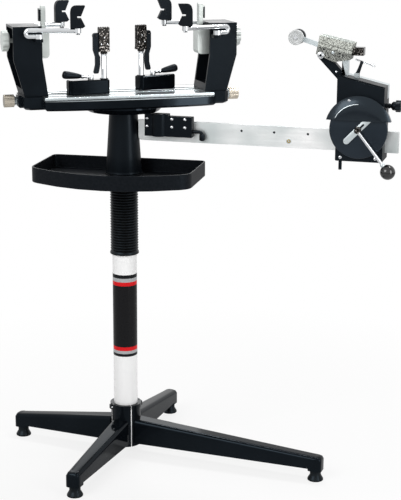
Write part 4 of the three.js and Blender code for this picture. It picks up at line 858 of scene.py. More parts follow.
class StringerColours(bpy.types.PropertyGroup):
    """Colours of the machine's finishes."""
    coat: colour("Black coat", "Powder coat of castings", (0.003, 0.004, 0.0055))
    sheen: colour("Sheen", "Cold tint of the black coat's gloss", (0.62, 0.82, 1.0))
    plastic: colour("Black plastic", "Moulded parts", (0.004, 0.004, 0.005))
    rubber: colour("Rubber", "Boot and feet", (0.004, 0.004, 0.004))
    tube: colour("Tube enamel", "Stand tube", (0.98, 0.98, 0.98))
    band: colour("Film band", "Coloured bands of the film", (0.7, 0.008, 0.012))
    panel: colour("Film panel", "Middle panel of the film", (0.005, 0.005, 0.006))
    silver: colour("Film silver", "Silver bands of the film", (0.42, 0.43, 0.44))
    steel: colour("Plated steel", "Bar, tracks and crank", (0.62, 0.68, 0.7))
    chrome: colour("Chrome", "Arms and posts", (0.68, 0.7, 0.72))
    nickel: colour("Nickel", "Lead screw knobs", (0.55, 0.5, 0.42))
    smoke: colour("Smoked nickel", "Clamp heads", (0.16, 0.15, 0.14))
    silver_paint: colour("Silver paint", "Frame supports and arm knobs", (0.62, 0.66, 0.64))
    casting: colour("Bare casting", "Gripper", (0.275, 0.285, 0.262))
    nylon: colour("Nylon", "Front disc of the guide roller", (0.8, 0.82, 0.82))
    brass: colour("Brass", "Stop bolt", (0.5, 0.38, 0.16))
    backdrop: colour("Backdrop", "Studio floor", (0.86, 0.86, 0.86))


class StringerStudio(bpy.types.PropertyGroup):
    """Camera and light."""
    camera_distance: length("Camera distance", "Level distance from the column to the camera", 3852.4)
    camera_height: length("Camera height", "Height of the camera above the floor", 1588.8)
    camera_round: rotation("Camera round", "Turn of the camera round the column from the bar's front", 19.08)
    heading: rotation("Heading", "Turn of the view from the column's direction", 3.262)
    pitch: rotation("Pitch", "Fall of the view", 14.147)
    roll: rotation("Roll", "Tilt of the view", 0.314)
    lens: FloatProperty(name="Lens", description="Focal length", default=98.9, unit="CAMERA")
    key_power: wattage("Key", "Power of the large front light", 78)
    fill_power: wattage("Fill", "Power of the side light", 46)
    rim_power: wattage("Rim", "Power of the light behind", 7)
    strip_power: wattage("Strip", "Power of the strip overhead", 44)
    ambient: FloatProperty(name="Ambient", description="Strength of the sky light", default=0.32)
    floor_glow: FloatProperty(
        name="Floor glow", description="How pale the floor looks near the stand", default=0.8)


# Stand

class STRINGER_OT_legs(bpy.types.Operator):
    """Four legs with their hub quarters, rubber feet and the hub's clamp bolts"""
    bl_idname = "stringer.legs"
    bl_label = "Legs and feet"

    def execute(self, context):
        foot = lathed("rubber_foot", [
            (0, 0), (21.6, 0), (22.5, 0.9), (22.5, 4.4), (21.9, 5.4), (16.9, 14.2), (15.8, 15.6),
            (15.8, 29), (15.2, 29.7), (0, 29.7),
        ], 48)
        for name in ("right", "back", "left", "front"):
            leg = nudged(dressed(f"leg_{name}", 3.2, 4, 40), HUB_CUT, inf, -HUB_DROP)
            paint(leg, "leg_coat", "black_casting", "base", f"leg_{name}")
            pad = place(twin(foot, f"rubber_foot_{name}"), under(f"foot_{name}"))
            paint(pad, "soft_rubber", "foot_rubber", "base", f"foot_{name}")
        bpy.data.objects.remove(foot)
        self.seams()
        return {"FINISHED"}

    def seams(self):
        """The tube's white seen in the four slits of the hub, and the clamp lugs on two of them."""
        slits = [BAR @ turned_by(LEG_TURN + 45 + 90 * quarter, "Z") for quarter in range(4)]
        seam = smooth(rounded(plate("hub_seam", rectangle(34, -1.2, 44.2, 1.2), 125), 0.2))
        scatter(
            seam, [slit @ shifted(0, 0, 28.5) for slit in slits], "white_enamel", "white_tube", "base",
            "hub_seam")
        spots = [(slit, height) for slit in slits[0::2] for height in (31, 139)]
        lug = smooth(rounded(plate("hub_lug", rectangle(42, -7, 50, 7), 13), 1.2))
        lugs = [slit @ shifted(0, 0, height) for slit, height in spots]
        scatter(lug, lugs, "leg_coat", "black_casting", "base", "hub_lug")
        bolts = [slit @ shifted(46, 7, height + 6.5) @ FACING_BACK for slit, height in spots]
        bolt = hexagon("hub_bolt", 3.6, 2.6)
        scatter(bolt, bolts, "polished_chrome", "inner_steel", "base", "hub_bolt")


class STRINGER_OT_column(bpy.types.Operator):
    """The white stand tube with its printed film, the inner tube and the ribbed boot"""
    bl_idname = "stringer.column"
    bl_label = "Column"

    def execute(self, context):
        self.tube()
        self.film(context.scene.stringer_sizes)
        self.boot()
        inner = frame["nodes"]["inner_tube"]
        inner.data.materials.clear()
        inner.data.materials.append(FINISHES["crank_steel"]())
        return {"FINISHED"}

    def tube(self):
        tube = lathed("white_tube", [
            (32.3, 27), (34.6, 27), (35, 27.5), (35, 639.2), (34.3, 640), (29.3, 640), (29.3, 600),
            (32.3, 597.3), (32.3, 27),
        ], 96, 32)
        paint(place(tube, BAR), "white_enamel", "white_tube", "base", "stand_tube")

    def film(self, sizes):
        low, high = sizes.film_bottom / MM, sizes.film_top / MM
        inner = 35.02
        outer = inner + sizes.film_stand / MM
        sleeve = lathed(
            "tube_film", [(inner, low), (outer, low + 0.2), (outer, high - 0.2), (inner, high)], 96, 32)
        paint(place(sleeve, BAR), "banded_film", "white_tube", "base")

    def boot(self):
        bottom, top, ribs = 610, 837.6, 26
        first, last = bottom + 12, top - 12
        pitch = (last - first) / ribs
        profile = [
            (35.7, bottom), (40.6, bottom), (41.7, bottom + 1.4), (41.4, bottom + 5), (39.6, bottom + 9.5)]
        for rib in range(ribs):
            for step in range(6):
                share = step / 6
                crest = (0.5 - 0.5 * cos(2 * pi * share)) ** 0.7
                profile.append((36.6 + 3.7 * crest, first + (rib + share) * pitch))
        profile += [(37.6, last), (40.1, last + 2), (40.1, top), (35.7, top), (35.7, bottom)]
        boot = place(lathed("ribbed_boot", profile, 64, 60), BAR)
        paint(boot, "soft_rubber", "boot_rubber", None, "column_boot")
        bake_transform(boot)


class STRINGER_OT_tray(bpy.types.Operator):
    """The tool tray and the neck on it"""
    bl_idname = "stringer.tray"
    bl_label = "Tray and neck"

    def execute(self, context):
        whole("tool_tray", (1.1, 3, 40), "tray_texture", "tray_plastic", "column")
        whole("neck", (1.2, 2, 25), "black_coat", "black_alloy", "column")
        return {"FINISHED"}


class STRINGER_OT_bar(bpy.types.Operator):
    """The plated rail bar with dark discs over its holes as painted shade, and the brass stop bolt"""
    bl_idname = "stringer.bar"
    bl_label = "Rail bar"

    def execute(self, context):
        whole("rail_bar", (0.7, 2, 40), "plated_bar", "bar_alloy", "column")
        half_thickness = 6
        stop = on_front(-half_thickness, (478.2, 961.4))
        bolt = dome("stop_bolt", 6, 0.34, 0.35)
        scatter(bolt, stop, "plain_brass", "bar_alloy", "column", "stop_bolt")
        # Flat black discs over the bar's holes on both faces: painted shade standing for the depth of the
        # holes
        hole_shades = [
            along_bar(x, half_thickness * face, 983.4) @ turned_by(-90 * face, "X")
            for x in (345, 437, 531) for face in (-1, 1)]
        hole_shade = dome("hole_shade_disc", 3.3, 0.32, 0.5)
        scatter(hole_shade, hole_shades, "moulded_black", "bar_alloy", "column", "hole_shade_disc")
        washer = lathed("stop_washer", [(0, 0), (7.6, 0), (7.6, 0.1), (7.2, 0.2), (0, 0.2)], 40, 32)
        scatter(washer, stop, "crank_steel", "bar_alloy", "column", "stop_washer")
        return {"FINISHED"}


class STRINGER_OT_bracket(bpy.types.Operator):
    """The bar's bracket with its screws, and the brake lever"""
    bl_idname = "stringer.bracket"
    bl_label = "Bracket and brake"

    def execute(self, context):
        whole("bar_bracket", (1.2, 2, 40), "black_coat", "black_paint", "column")
        spots = on_front(
            -30.1, (79, 1009.5), (79, 987.2), (151.5, 1009.4), (151.5, 987.2), (189, 1010.2), (189, 987.1))
        screw = dome("bracket_screw", 4.6, 2.4)
        scatter(screw, spots, "polished_chrome", "inner_steel", "column", "bracket_screw")
        self.brake()
        return {"FINISHED"}

    def brake(self):
        depth, height, bend_x, bend = -18.3, 976, 236, 10
        turn = [(x, depth, z) for x, z in arc(bend_x - bend, height - bend, bend, 90, 0, 8)]
        rod = pipe("brake_lever_rod", [(188, depth, height), *turn, (bend_x, depth, 958)], 4.9)
        grip = lathe("brake_grip", [
            (0, 951), (4.2, 951.2), (7, 953), (8, 956), (8, 966), (7.2, 969.5), (5, 970.8), (0, 970.8),
        ], 32)
        lever = smooth(joined(rod, place(grip, shifted(bend_x, depth, 0))), 50)
        paint(place(lever, BAR), "moulded_black", "lever_plastic", "brake_lever", "brake_lever")


# Turntable

class STRINGER_OT_turntable(bpy.types.Operator):
    """The oval turntable and its two slotted tracks"""
    bl_idname = "stringer.turntable"
    bl_label = "Turntable"

    def execute(self, context):
        whole("turntable", (1.4, 3, 25), "deck_coat", "black_casting", "turntable")
        for name in ("track_front", "track_rear"):
            whole(name, (0.9, 2, 40), "track_steel", "track_steel", "turntable")
        return {"FINISHED"}


class STRINGER_OT_screw_knobs(bpy.types.Operator):
    """Fluted nickel knobs on the two lead screws"""
    bl_idname = "stringer.screw_knobs"
    bl_label = "Lead screw knobs"

    def execute(self, context):
        knob = self.knob()
        screw = self.screw()
        for side in SIDES:
            axis = TABLE @ shifted(0, 0, SCREW_HEIGHT) @ facing_out(side)
            grip = place(twin(knob, f"screw_knob_grip_{side}"), axis)
            paint(grip, "turned_nickel", "champagne_nickel", f"screw_{side}", f"screw_knob_{side}")
            rod = place(twin(screw, f"lead_screw_{side}"), axis)
            paint(rod, "crank_steel", "champagne_nickel", f"screw_{side}")
        for made in (knob, screw):
            bpy.data.objects.remove(made)
        return {"FINISHED"}

    def knob(self):
        grip = plate("knob_grip", scalloped(24, 6, 16.4, 0.9, 0.6), 25.5)
        place(grip, shifted(0, 0, 310.5))
        edit(grip, "DESELECT")
        bpy.ops.object.mode_set(mode="OBJECT")
        for face in grip.data.polygons:
            face.select = abs(face.normal.z) > 0.9
        bpy.ops.object.mode_set(mode="EDIT")
        bpy.ops.mesh.inset(thickness=1.6 * MM, depth=1.5 * MM)
        bpy.ops.mesh.inset(thickness=5 * MM, depth=-0.6 * MM)
        closed_skin()
        return smooth(grip, 40)

    def screw(self):
        profile = [(0, 160), (5.2, 160)]
        for at in range(60):
            profile += [(5.9, 161 + 2 * at), (5.2, 162 + 2 * at)]
        profile += [
            (5.6, 284), (8.8, 284.7), (8.8, 287.7), (5.8, 287.7), (5.8, 300.3), (10.6, 300.3), (11, 300.8),
            (11, 305), (10.4, 305.6), (13, 306), (13.4, 306.6), (13.4, 310.6), (0, 310.6),
        ]
        return lathed("lead_screw", profile, 28)


class STRINGER_OT_towers(bpy.types.Operator):
    """The two towers with their frame supports, rubber pads and arm pins"""
    bl_idname = "stringer.towers"
    bl_label = "Towers"

    def execute(self, context):
        for side in SIDES:
            tower = f"tower_{side}"
            whole(tower, (1.4, 3, 40), "black_coat", "black_paint", tower)
            whole(f"frame_support_{side}", (1.6, 3, 40), "satin_silver", "satin_alloy", tower)
            self.pad(side)
            self.pins(side)
        return {"FINISHED"}

    def pad(self, side):
        low, high, half, corner = 1277, 1311.4, 8.6, 3
        outline = [
            *arc(corner - half, high - corner, corner, 180, 90, 4),
            *arc(half - corner, high - corner, corner, 90, 0, 4), (half, low), (-half, low)]
        pad = place(plate("support_pad", outline, 6.1), STOOD_UP)
        place(smooth(rounded(pad, 0.8)), TABLE @ own_side(side) @ shifted(230.2, 0, 0))
        pad.name = f"support_pad_{side}"
        paint(pad, "soft_rubber", "foot_rubber", f"tower_{side}")

    def pins(self, side):
        out = hand_of(side) * ARM_PIN_OUT
        head = dome("pin_head", 4.9, 1.6, 0.3)
        spots = [TABLE @ shifted(out, hand_of(hand) * ARM_PIN_BACK, ARM_PIN_TOP) for hand in HANDS]
        scatter(head, spots, "polished_chrome", "black_paint", f"tower_{side}", f"arm_pin_{side}")


class STRINGER_OT_arm_knobs(bpy.types.Operator):
    """The scalloped silver knobs that close the frame arms"""
    bl_idname = "stringer.arm_knobs"
    bl_label = "Arm knobs"

    def execute(self, context):
        knob = self.knob()
        shaft = lathed("knob_shaft", [
            (0, 268), (6, 268), (6, 316.4), (12, 316.4), (12, 318.2), (20.4, 318.2), (21.4, 319.2),
            (21.4, 324.6), (0, 324.6),
        ])
        for side in SIDES:
            axis = TABLE @ shifted(0, 0, ARM_KNOB_HEIGHT) @ facing_out(side)
            grip = place(twin(knob, f"arm_knob_grip_{side}"), axis)
            paint(grip, "satin_silver", "satin_alloy", f"arm_knob_{side}", f"arm_knob_{side}")
            rod = place(twin(shaft, f"arm_knob_shaft_{side}"), axis)
            paint(rod, "satin_silver", "satin_alloy", f"arm_knob_{side}")
        for made in (knob, shaft):
            bpy.data.objects.remove(made)
        return {"FINISHED"}

    def knob(self):
        grip = plate("arm_knob_grip", scalloped(10, 10, 28.3, 2.7, 1.6), 14)
        place(grip, shifted(0, 0, 323.2))
        for face in grip.data.polygons:
            face.select = abs(face.normal.z) > 0.9
        pick(grip)
        bpy.ops.object.mode_set(mode="EDIT")
        bpy.ops.mesh.inset(thickness=2 * MM, depth=1.8 * MM)
        bpy.ops.mesh.inset(thickness=6 * MM, depth=0)
        bpy.ops.mesh.inset(thickness=1.5 * MM, depth=-1.2 * MM)
        closed_skin()
        return smooth(grip, 45)


class STRINGER_OT_arms(bpy.types.Operator):
    """Four chromed frame arms, bent back over their tower pins"""
    bl_idname = "stringer.arms"
    bl_label = "Frame arms"

    def execute(self, context):
        arm = self.arm()
        for side in SIDES:
            for hand in HANDS:
                piece = place(twin(arm, f"frame_arm_{side}_{hand}"), arm_frame(side, hand))
                node = f"arm_{side}_{hand}"
                paint(piece, "polished_chrome", "arm_chrome", node, node)
        bpy.data.objects.remove(arm)
        return {"FINISHED"}

    def arm(self):
        low, high = 1242, 1258.5
        bend = (high - low) / 2
        hook = arc(-35 + bend, low + bend, bend, 270, 90, 16)
        rod = pipe("frame_arm", [(0, 0, low), *[(x, 0, z) for x, z in hook], (108, 0, high)], 6.45)
        eye = lathe("arm_eye", [
            (0, 1235.6), (9.6, 1235.6), (10.4, 1236.4), (10.4, 1247.6), (9.6, 1248.4), (0, 1248.4)])
        boss = lathe("arm_boss", [
            (0, 1252.1), (8.2, 1252.1), (8.9, 1252.8), (8.9, 1264.2), (8.2, 1264.9), (0, 1264.9)])
        place(boss, shifted(103.5, 0, 0))
        return smooth(joined(rod, eye, boss), 40)


class STRINGER_OT_adapters(bpy.types.Operator):
    """Four black frame adapters with steel nuts under their pins"""
    bl_idname = "stringer.adapters"
    bl_label = "Frame adapters"

    def execute(self, context):
        nut = hexagon("adapter_nut", 6, 3.9)
        for side in SIDES:
            for hand in HANDS:
                node = f"adapter_{side}_{hand}"
                whole(node, (1.3, 3, 40), "moulded_black", "adapter_plastic", node)
                pin = joint_place(f"{node}_swivel")
                below = Matrix.Translation((pin.x, pin.y, NUT_HEIGHT * MM))
                piece = place(twin(nut, f"{node}_nut"), below)
                paint(piece, "polished_chrome", "arm_chrome", node)
        bpy.data.objects.remove(nut)
        return {"FINISHED"}


# String clamps

class STRINGER_OT_clamp_bases(bpy.types.Operator):
    """The clamps' shoes, swinging bases, lock levers and chromed posts"""
    bl_idname = "stringer.clamp_bases"
    bl_label = "Clamp bases"

    def execute(self, context):
        for side in SIDES:
            base, shoe = f"clamp_base_{side}", f"clamp_shoe_{side}"
            whole(base, (0.9, 2, 30), "clamp_coat", "black_paint", base)
            whole(shoe, (0.4, 2, 40), "crank_steel", "shoe_steel", shoe)
            self.lever(side)
            self.post(side)
        return {"FINISHED"}

    def lever(self, side):
        body = f"lock_lever_{side}"
        path = [
            (27, 1126.8, 0.36), (30, 1127.2, 0.5), (35, 1127.8, 0.62), (44, 1129, 0.75),
            (54, 1130.3, 0.85), (64, 1131.6, 0.95), (72, 1132.6, 1.0), (76, 1133.1, 0.96),
            (79, 1133.5, 0.82), (80.6, 1133.8, 0.5), (81, 1133.9, 0.3),
        ]
        points, shares = [(x, 0, z) for x, z, share in path], [share for x, z, share in path]
        grip = pipe(f"lock_grip_{side}", points, 11, shares, 8)
        frame_at = clamp_frame(side) @ own_side(side)
        place(smooth(grip, 60), frame_at)
        paint(grip, "moulded_black", "lever_plastic", body, body)
        ferrule = lathed(f"lock_ferrule_{side}", [
            (0, 0), (4, 0), (4, 13), (5.2, 13.6), (5.8, 14.4), (5.8, 20), (5.2, 21), (0, 21)], 32)
        place(ferrule, frame_at @ shifted(7, 0, 1124.6) @ turned_by(-7, "Y") @ FACING_RIGHT)
        paint(ferrule, "polished_chrome", "post_chrome", body)
        hub = lathed(f"lock_hub_{side}", [
            (0, 1104.3), (5, 1104.3), (5, 1118.3), (7.6, 1118.3), (8, 1118.7), (8, 1121), (7.4, 1121.6),
            (7.4, 1122.6), (8, 1123.2), (8, 1129.2), (7.2, 1130.2), (4, 1130.3), (0, 1130.3),
        ])
        paint(place(hub, clamp_frame(side)), "polished_chrome", "post_chrome", body)

    def post(self, side):
        body = f"clamp_post_{side}"
        post = lathed(f"chromed_post_{side}", [
            (0, 1101), (7.2, 1101), (7.8, 1101.6), (7.8, 1181), (7.4, 1181.6), (7.4, 1183.4), (7.8, 1184),
            (7.8, 1186.4), (7.2, 1187), (4.4, 1187), (4.4, 1174.6), (0, 1174.6),
        ], 48)
        paint(place(post, post_frame(side)), "polished_chrome", "post_chrome", body, body)


class STRINGER_OT_clamp_heads(bpy.types.Operator):
    """The toothed string clamp heads with their jaws, levers and rivets"""
    bl_idname = "stringer.clamp_heads"
    bl_label = "Clamp heads"

    def execute(self, context):
        for side in SIDES:
            for node in (f"clamp_head_{side}", f"clamp_jaw_{side}"):
                whole(node, (0.35, 2, 30), "dark_nickel", "dark_nickel", node)
            node = f"clamp_lever_{side}"
            lever = nudged(dressed(node, 1.0, 2, 30), 1131, 1135, 1)
            paint(lever, "moulded_black", "lever_black", node, node)
            self.rivets(side)
        return {"FINISHED"}

    def rivets(self, side):
        out = hand_of(side)
        rivet = dome("head_pin", 2.2, 0.9, 0.3)
        spots = [
            post_frame(side) @ shifted(x, -7.4, z) @ FACING_FRONT
            for x, z in ((-out * 9, 1213), (out * 9, 1213), (0, 1231))]
        scatter(rivet, spots, "polished_chrome", "dark_nickel", f"clamp_jaw_{side}", f"jaw_rivet_{side}")


# Tension head

class STRINGER_OT_head_case(bpy.types.Operator):
    """The tension head's case and its black cover with their screws and washers"""
    bl_idname = "stringer.head_case"
    bl_label = "Head case"

    def execute(self, context):
        self.case()
        whole("head_cover", (0.9, 2, 30), "head_coat", "black_paint", "carriage")
        washer = lathed("yoke_washer", [
            (0, 0), (9, 0), (9, 1), (8.4, 1.5), (6.4, 1.5), (5.8, 2.6), (5.2, 3), (3.4, 3), (3.4, 1.2),
            (0, 1.2),
        ])
        washers = [*on_front(-25.2, (564, 1200)), along_bar(564, 25.2, 1200) @ FACING_BACK]
        for source, spots, name in (
                (dome("cover_screw", 4.4, 1.8), on_front(-44.9, (627.9, 931.9), (722, 932.4)), "cover_screw"),
                (dome("yoke_screw", 3, 1.2, 0.3), on_front(-12.1, (605, 1156)), "yoke_screw"),
                (washer, washers, "yoke_washer")):
            scatter(source, spots, "polished_chrome", "inner_steel", "carriage", name)
        return {"FINISHED"}

    def case(self):
        """The case, cut where its black front meets the pale steel behind and above."""
        case = dressed("head_body", 0.8, 2, 30)
        for at, way in (
                ((0, CASE_SPLIT, 0), (0, 1, 0)), ((0, 0, CASE_SHOULDER), (0, 0, 1)),
                ((STRUT_FOOT, 0, 0), (1, 0, 0))):
            edit(case)
            bpy.ops.mesh.bisect(plane_co=along_bar(*at).translation, plane_no=way)
            bpy.ops.object.mode_set(mode="OBJECT")
        paint(firm(case), "black_coat", "head_grey", "carriage", "head_body")
        case.data.materials.append(FINISHES["link_steel"]())
        for face in case.data.polygons:
            face.material_index = 1 if self.is_pale(face.center) else 0

    def is_pale(self, spot):
        """The strut, the ears, and the rim of the case behind the black front."""
        x, y, z = (spot.x - COLUMN.x) / MM, (spot.y - COLUMN.y) / MM, spot.z / MM
        sloping_top = 1152 - (x - 614) * 29 / 127
        strut = 619 < x < 637 and z > sloping_top + 1 and abs(y) < 12.5
        rim = x > 613.5 and y > CASE_SPLIT and z > CASE_SHOULDER
        ears = 648 < x < 670 and z > sloping_top + 0.5
        return strut or rim or ears


class STRINGER_OT_winder(bpy.types.Operator):
    """The winder disc under its guard, with the crank and its ball"""
    bl_idname = "stringer.winder"
    bl_label = "Winder and crank"

    def execute(self, context):
        self.disc()
        self.guard()
        self.crank()
        self.ball()
        return {"FINISHED"}

    def disc(self):
        disc = lathed("winder_disc_turned", [
            (0, 56.9), (70, 56.9), (71, 56.6), (76, 56.6), (77.4, 55.8), (78, 54.4), (78, 46.6),
            (77.2, 45.4), (8, 45.4), (8, 23.4), (0, 23.4),
        ], 128)
        paint(place(disc, WINDER), "disc_coat", "black_paint", "crank", "winder_disc")

    def guard(self):
        guard = lathe("disc_guard_turned", [
            (0, 66), (69, 66), (70.4, 65.6), (89, 58.6), (90, 57.6), (90, 45.3), (86.6, 45.3), (86.6, 56.4),
            (69, 62.6), (0, 62.6),
        ], 128)
        guard = rounded(trimmed(guard, ((0, 24, 0), (0, 1, 0))), 0.5, 2, 50)
        paint(place(smooth(guard, 30), WINDER), "guard_coat", "black_paint", "carriage", "disc_guard")
        # A thin rib painted pale steel on the upper left of the guard's face edge: a painted highlight along
        # that crease
        rib = lathed("guard_painted_highlight_rib", [
            (67.6, 65.8), (67.9, 66.6), (69.1, 66.6), (69.6, 65.8), (67.6, 65.8)], 128, 60)
        trimmed(rib, ((0, 30, 0), (0, 1, 0)), ((0, 0, 0), (-1, 0, 0)))
        paint(place(rib, WINDER), "crank_steel", "black_paint", "carriage")
        on_slope = along_bar(650, -61.2, 1087) @ turned_by(20, "Y") @ FACING_FRONT @ turned_by(16, "X")
        screw = dome("guard_screw", 4.2, 1.6)
        scatter(screw, [on_slope], "polished_chrome", "inner_steel", "carriage", "guard_screw")

    def crank(self):
        plate_turn, rod_turn = turned_by(CRANK_PLATE_TURN, "Z"), turned_by(CRANK_TURN, "Z")
        outline = [*arc(53.5, 0, 8.4, -90, 90, 14), *arc(-43.5, 0, 8.4, 90, 270, 14)]
        arm = rounded(plate("crank_arm_turned", outline, 3.4), 0.8, 3)
        place(arm, plate_turn @ shifted(0, 0, 57.4))
        hub = lathe("crank_hub", [
            (0, 57.4), (9, 57.4), (9, 66), (8.4, 67), (7.4, 67.4), (7.4, 79), (6.6, 79.9), (0, 79.9)])
        rod = pipe("crank_rod", [(0, 0, 74), (126, 0, 74)], 4.25, rings=8)
        place(rod, rod_turn)
        ferrule = lathe("crank_ferrule", [(0, 0), (5.6, 0), (6.2, 0.8), (6.2, 7), (5.4, 8), (0, 8)], 32)
        place(ferrule, rod_turn @ shifted(110, 0, 74) @ FACING_RIGHT)
        slit = [*arc(20, 0, 2.6, -90, 90, 8), *arc(4, 0, 2.6, 90, 270, 8)]
        slot = rounded(plate("crank_slot", slit, 0.5), 0.2)
        place(slot, plate_turn @ shifted(0, 0, 60.6))
        paint(place(smooth(arm, 40), WINDER), "crank_steel", "crank_steel", "crank", "crank_arm")
        for part, finish in (
                (hub, "dark_nickel"), (rod, "polished_chrome"), (ferrule, "crank_steel"),
                (slot, "moulded_black")):
            paint(place(smooth(part, 40), WINDER), finish, "crank_steel", "crank")

    def ball(self):
        clear_selection()
        bpy.ops.mesh.primitive_uv_sphere_add(segments=64, ring_count=32, radius=20 * MM)
        ball = bpy.context.active_object
        ball.name = "crank_ball_turned"
        for face in ball.data.polygons:
            face.select = face.center.z > 19.4 * MM
        bpy.ops.object.mode_set(mode="EDIT")
        bpy.ops.mesh.inset(thickness=0.6 * MM, depth=0.2 * MM)
        closed_skin()
        reach, turn = 136, radians(CRANK_TURN)
        middle = along_bar(WINDER_ALONG + reach * cos(turn), -74, WINDER_HEIGHT + reach * sin(turn))
        place(smooth(ball, 60), middle @ turned_by(-CRANK_TURN, "Y"))
        paint(ball, "ball_gloss", "ball_plastic", "crank", "crank_ball")


class STRINGER_OT_tension_knob(bpy.types.Operator):
    """The black lobed knob that sets the tension"""
    bl_idname = "stringer.tension_knob"
    bl_label = "Tension knob"

    def execute(self, context):
        knob = rounded(plate("tension_knob_head", scalloped(6, 12, 15.9, 2.6, 0.8), 14), 1.6, 3, 60)
        place(knob, shifted(0, 0, 767))
        stem = lathe("tension_stem", [
            (0, 727.2), (4, 727.2), (4, 741.4), (7, 741.4), (7, 744), (5.6, 745), (5.6, 748), (7, 749),
            (7, 752), (5.6, 753), (5.6, 755), (9, 757), (11.5, 760), (12, 767.5), (0, 767.5),
        ])
        place(smooth(joined(knob, stem), 40), along_bar(0, -10, 1071) @ FACING_RIGHT)
        paint(knob, "moulded_black", "ball_plastic", "tension_knob", "tension_knob")
        return {"FINISHED"}


class STRINGER_OT_gripper(bpy.types.Operator):
    """The gripper block with its jaw, screws and rails"""
    bl_idname = "stringer.gripper"
    bl_label = "Gripper"

    def execute(self, context):
        body = whole("gripper_body", (0.7, 2, 30), "sand_cast", "gripper_grey", "gripper")
        for name in ("link_steel", "dark_nickel"):
            body.data.materials.append(FINISHES[name]())
        for face in body.data.polygons:
            x, y = (face.center.x - COLUMN.x) / MM, abs(face.center.y - COLUMN.y) / MM
            face.material_index = 1 if x < 561 and y < 9.3 else 2 if x > 653 else 0
        self.screws()
        self.rails()
        whole("gripper_jaw", (0.7, 2, 30), "sand_cast", "gripper_grey", "gripper_jaw")
        return {"FINISHED"}

    def rails(self):
        """Three bright wear strips along the sloping top."""
        rail = smooth(rounded(plate("gripper_rail", rectangle(0, 0, 88, 3), 1.4), 0.4))
        slope = along_bar(GRIPPER_START, 0, 1252.4) @ turned_by(GRIPPER_FALL, "Y")
        spots = [slope @ shifted(0, y, 0.2) for y in (-24, -10, 12)]
        scatter(rail, spots, "satin_silver", "gripper_grey", "gripper", "gripper_rail")

    def screws(self):
        """The clamping screw with a ring round it, and four small socket screws."""
        ring = lathed("gripper_ring", [
            (4.6, 0), (8.6, 0), (8.6, 1.2), (7.8, 1.8), (5.4, 1.8), (4.6, 1.2), (4.6, 0)])
        small = ((572, 1216), (585, 1194), (615, 1206), (624, 1200))
        for source, spots, finish, name in (
                (ring, [GRIPPER_SCREW], "sand_cast", "gripper_ring"),
                (dome("gripper_socket", 4.4, 1.6, 0.5), [GRIPPER_SCREW], "crank_steel", "gripper_socket"),
                (dome("gripper_screw", 2.4, 0.9, 0.5), small, "moulded_black", "gripper_screw")):
            scatter(source, on_front(GRIPPER_FACE, *spots), finish, "gripper_grey", "gripper", name)


class STRINGER_OT_roller(bpy.types.Operator):
    """The guide roller: a frosted front disc, a black rear disc and their axle"""
    bl_idname = "stringer.roller"
    bl_label = "Guide roller"

    def execute(self, context):
        axis = along_bar(494, 0, 1244) @ FACING_FRONT
        front = lathed("roller_front", [
            (0, 22.6), (6, 22.6), (7, 21.4), (13, 21.4), (15, 22.8), (17.5, 23.9), (19.4, 23), (20, 21),
            (20, 6), (19.2, 4.4), (17.4, 3.4), (0, 3.4),
        ], 64)
        paint(place(front, axis), "milky_nylon", "roller_plastic", "guide_roller", "guide_roller")
        rear = lathed("roller_rear", [
            (0, -3.4), (17.4, -3.4), (19.2, -4.4), (20, -6), (20, -21), (19.4, -23), (17.5, -23.9),
            (0, -23.9),
        ], 64)
        paint(place(rear, axis), "moulded_black", "roller_plastic", "guide_roller")
        axle = lathed("roller_axle", [
            (0, 24), (4.4, 24), (5, 23.4), (5, -3.3), (5, -3.4), (0, -3.4)], 32)
        paint(place(axle, axis), "polished_chrome", "roller_plastic", "guide_roller")
        return {"FINISHED"}


class STRINGER_OT_trip_lever(bpy.types.Operator):
    """The trip lever: a black handle with a bright rod and loop across its top"""
    bl_idname = "stringer.trip_lever"
    bl_label = "Trip lever"

    def execute(self, context):
        path = [
            (659, 0, 1148.2), (661, 0, 1154), (665, 0, 1165), (669, 0, 1177), (671, 0, 1183), (672, 0, 1186)]
        handle = pipe("trip_handle", path, 5.6, (0.85, 0.95, 0.8, 0.72, 0.85, 0.4))
        foot = lathe("trip_foot", [(0, -4.8), (4.4, -4.8), (5, -4.2), (5, 4.2), (4.4, 4.8), (0, 4.8)], 32)
        place(foot, shifted(659, 0, 1148.17) @ FACING_FRONT)
        handle = place(smooth(joined(handle, foot), 50), BAR)
        paint(handle, "moulded_black", "trip_black", "trip_lever", "trip_lever")
        rod = pipe("trip_rod", [(654, 0, 1189.6), (699.4, 0, 1176.1)], 2.2)
        clear_selection()
        bpy.ops.mesh.primitive_torus_add(
            major_segments=32, minor_segments=12, major_radius=3.3 * MM, minor_radius=1.3 * MM)
        loop = place(bpy.context.active_object, shifted(703, 0, 1175) @ FACING_FRONT)
        paint(place(smooth(joined(rod, loop), 50), BAR), "polished_chrome", "crank_steel", "trip_lever")
        return {"FINISHED"}


# Studio

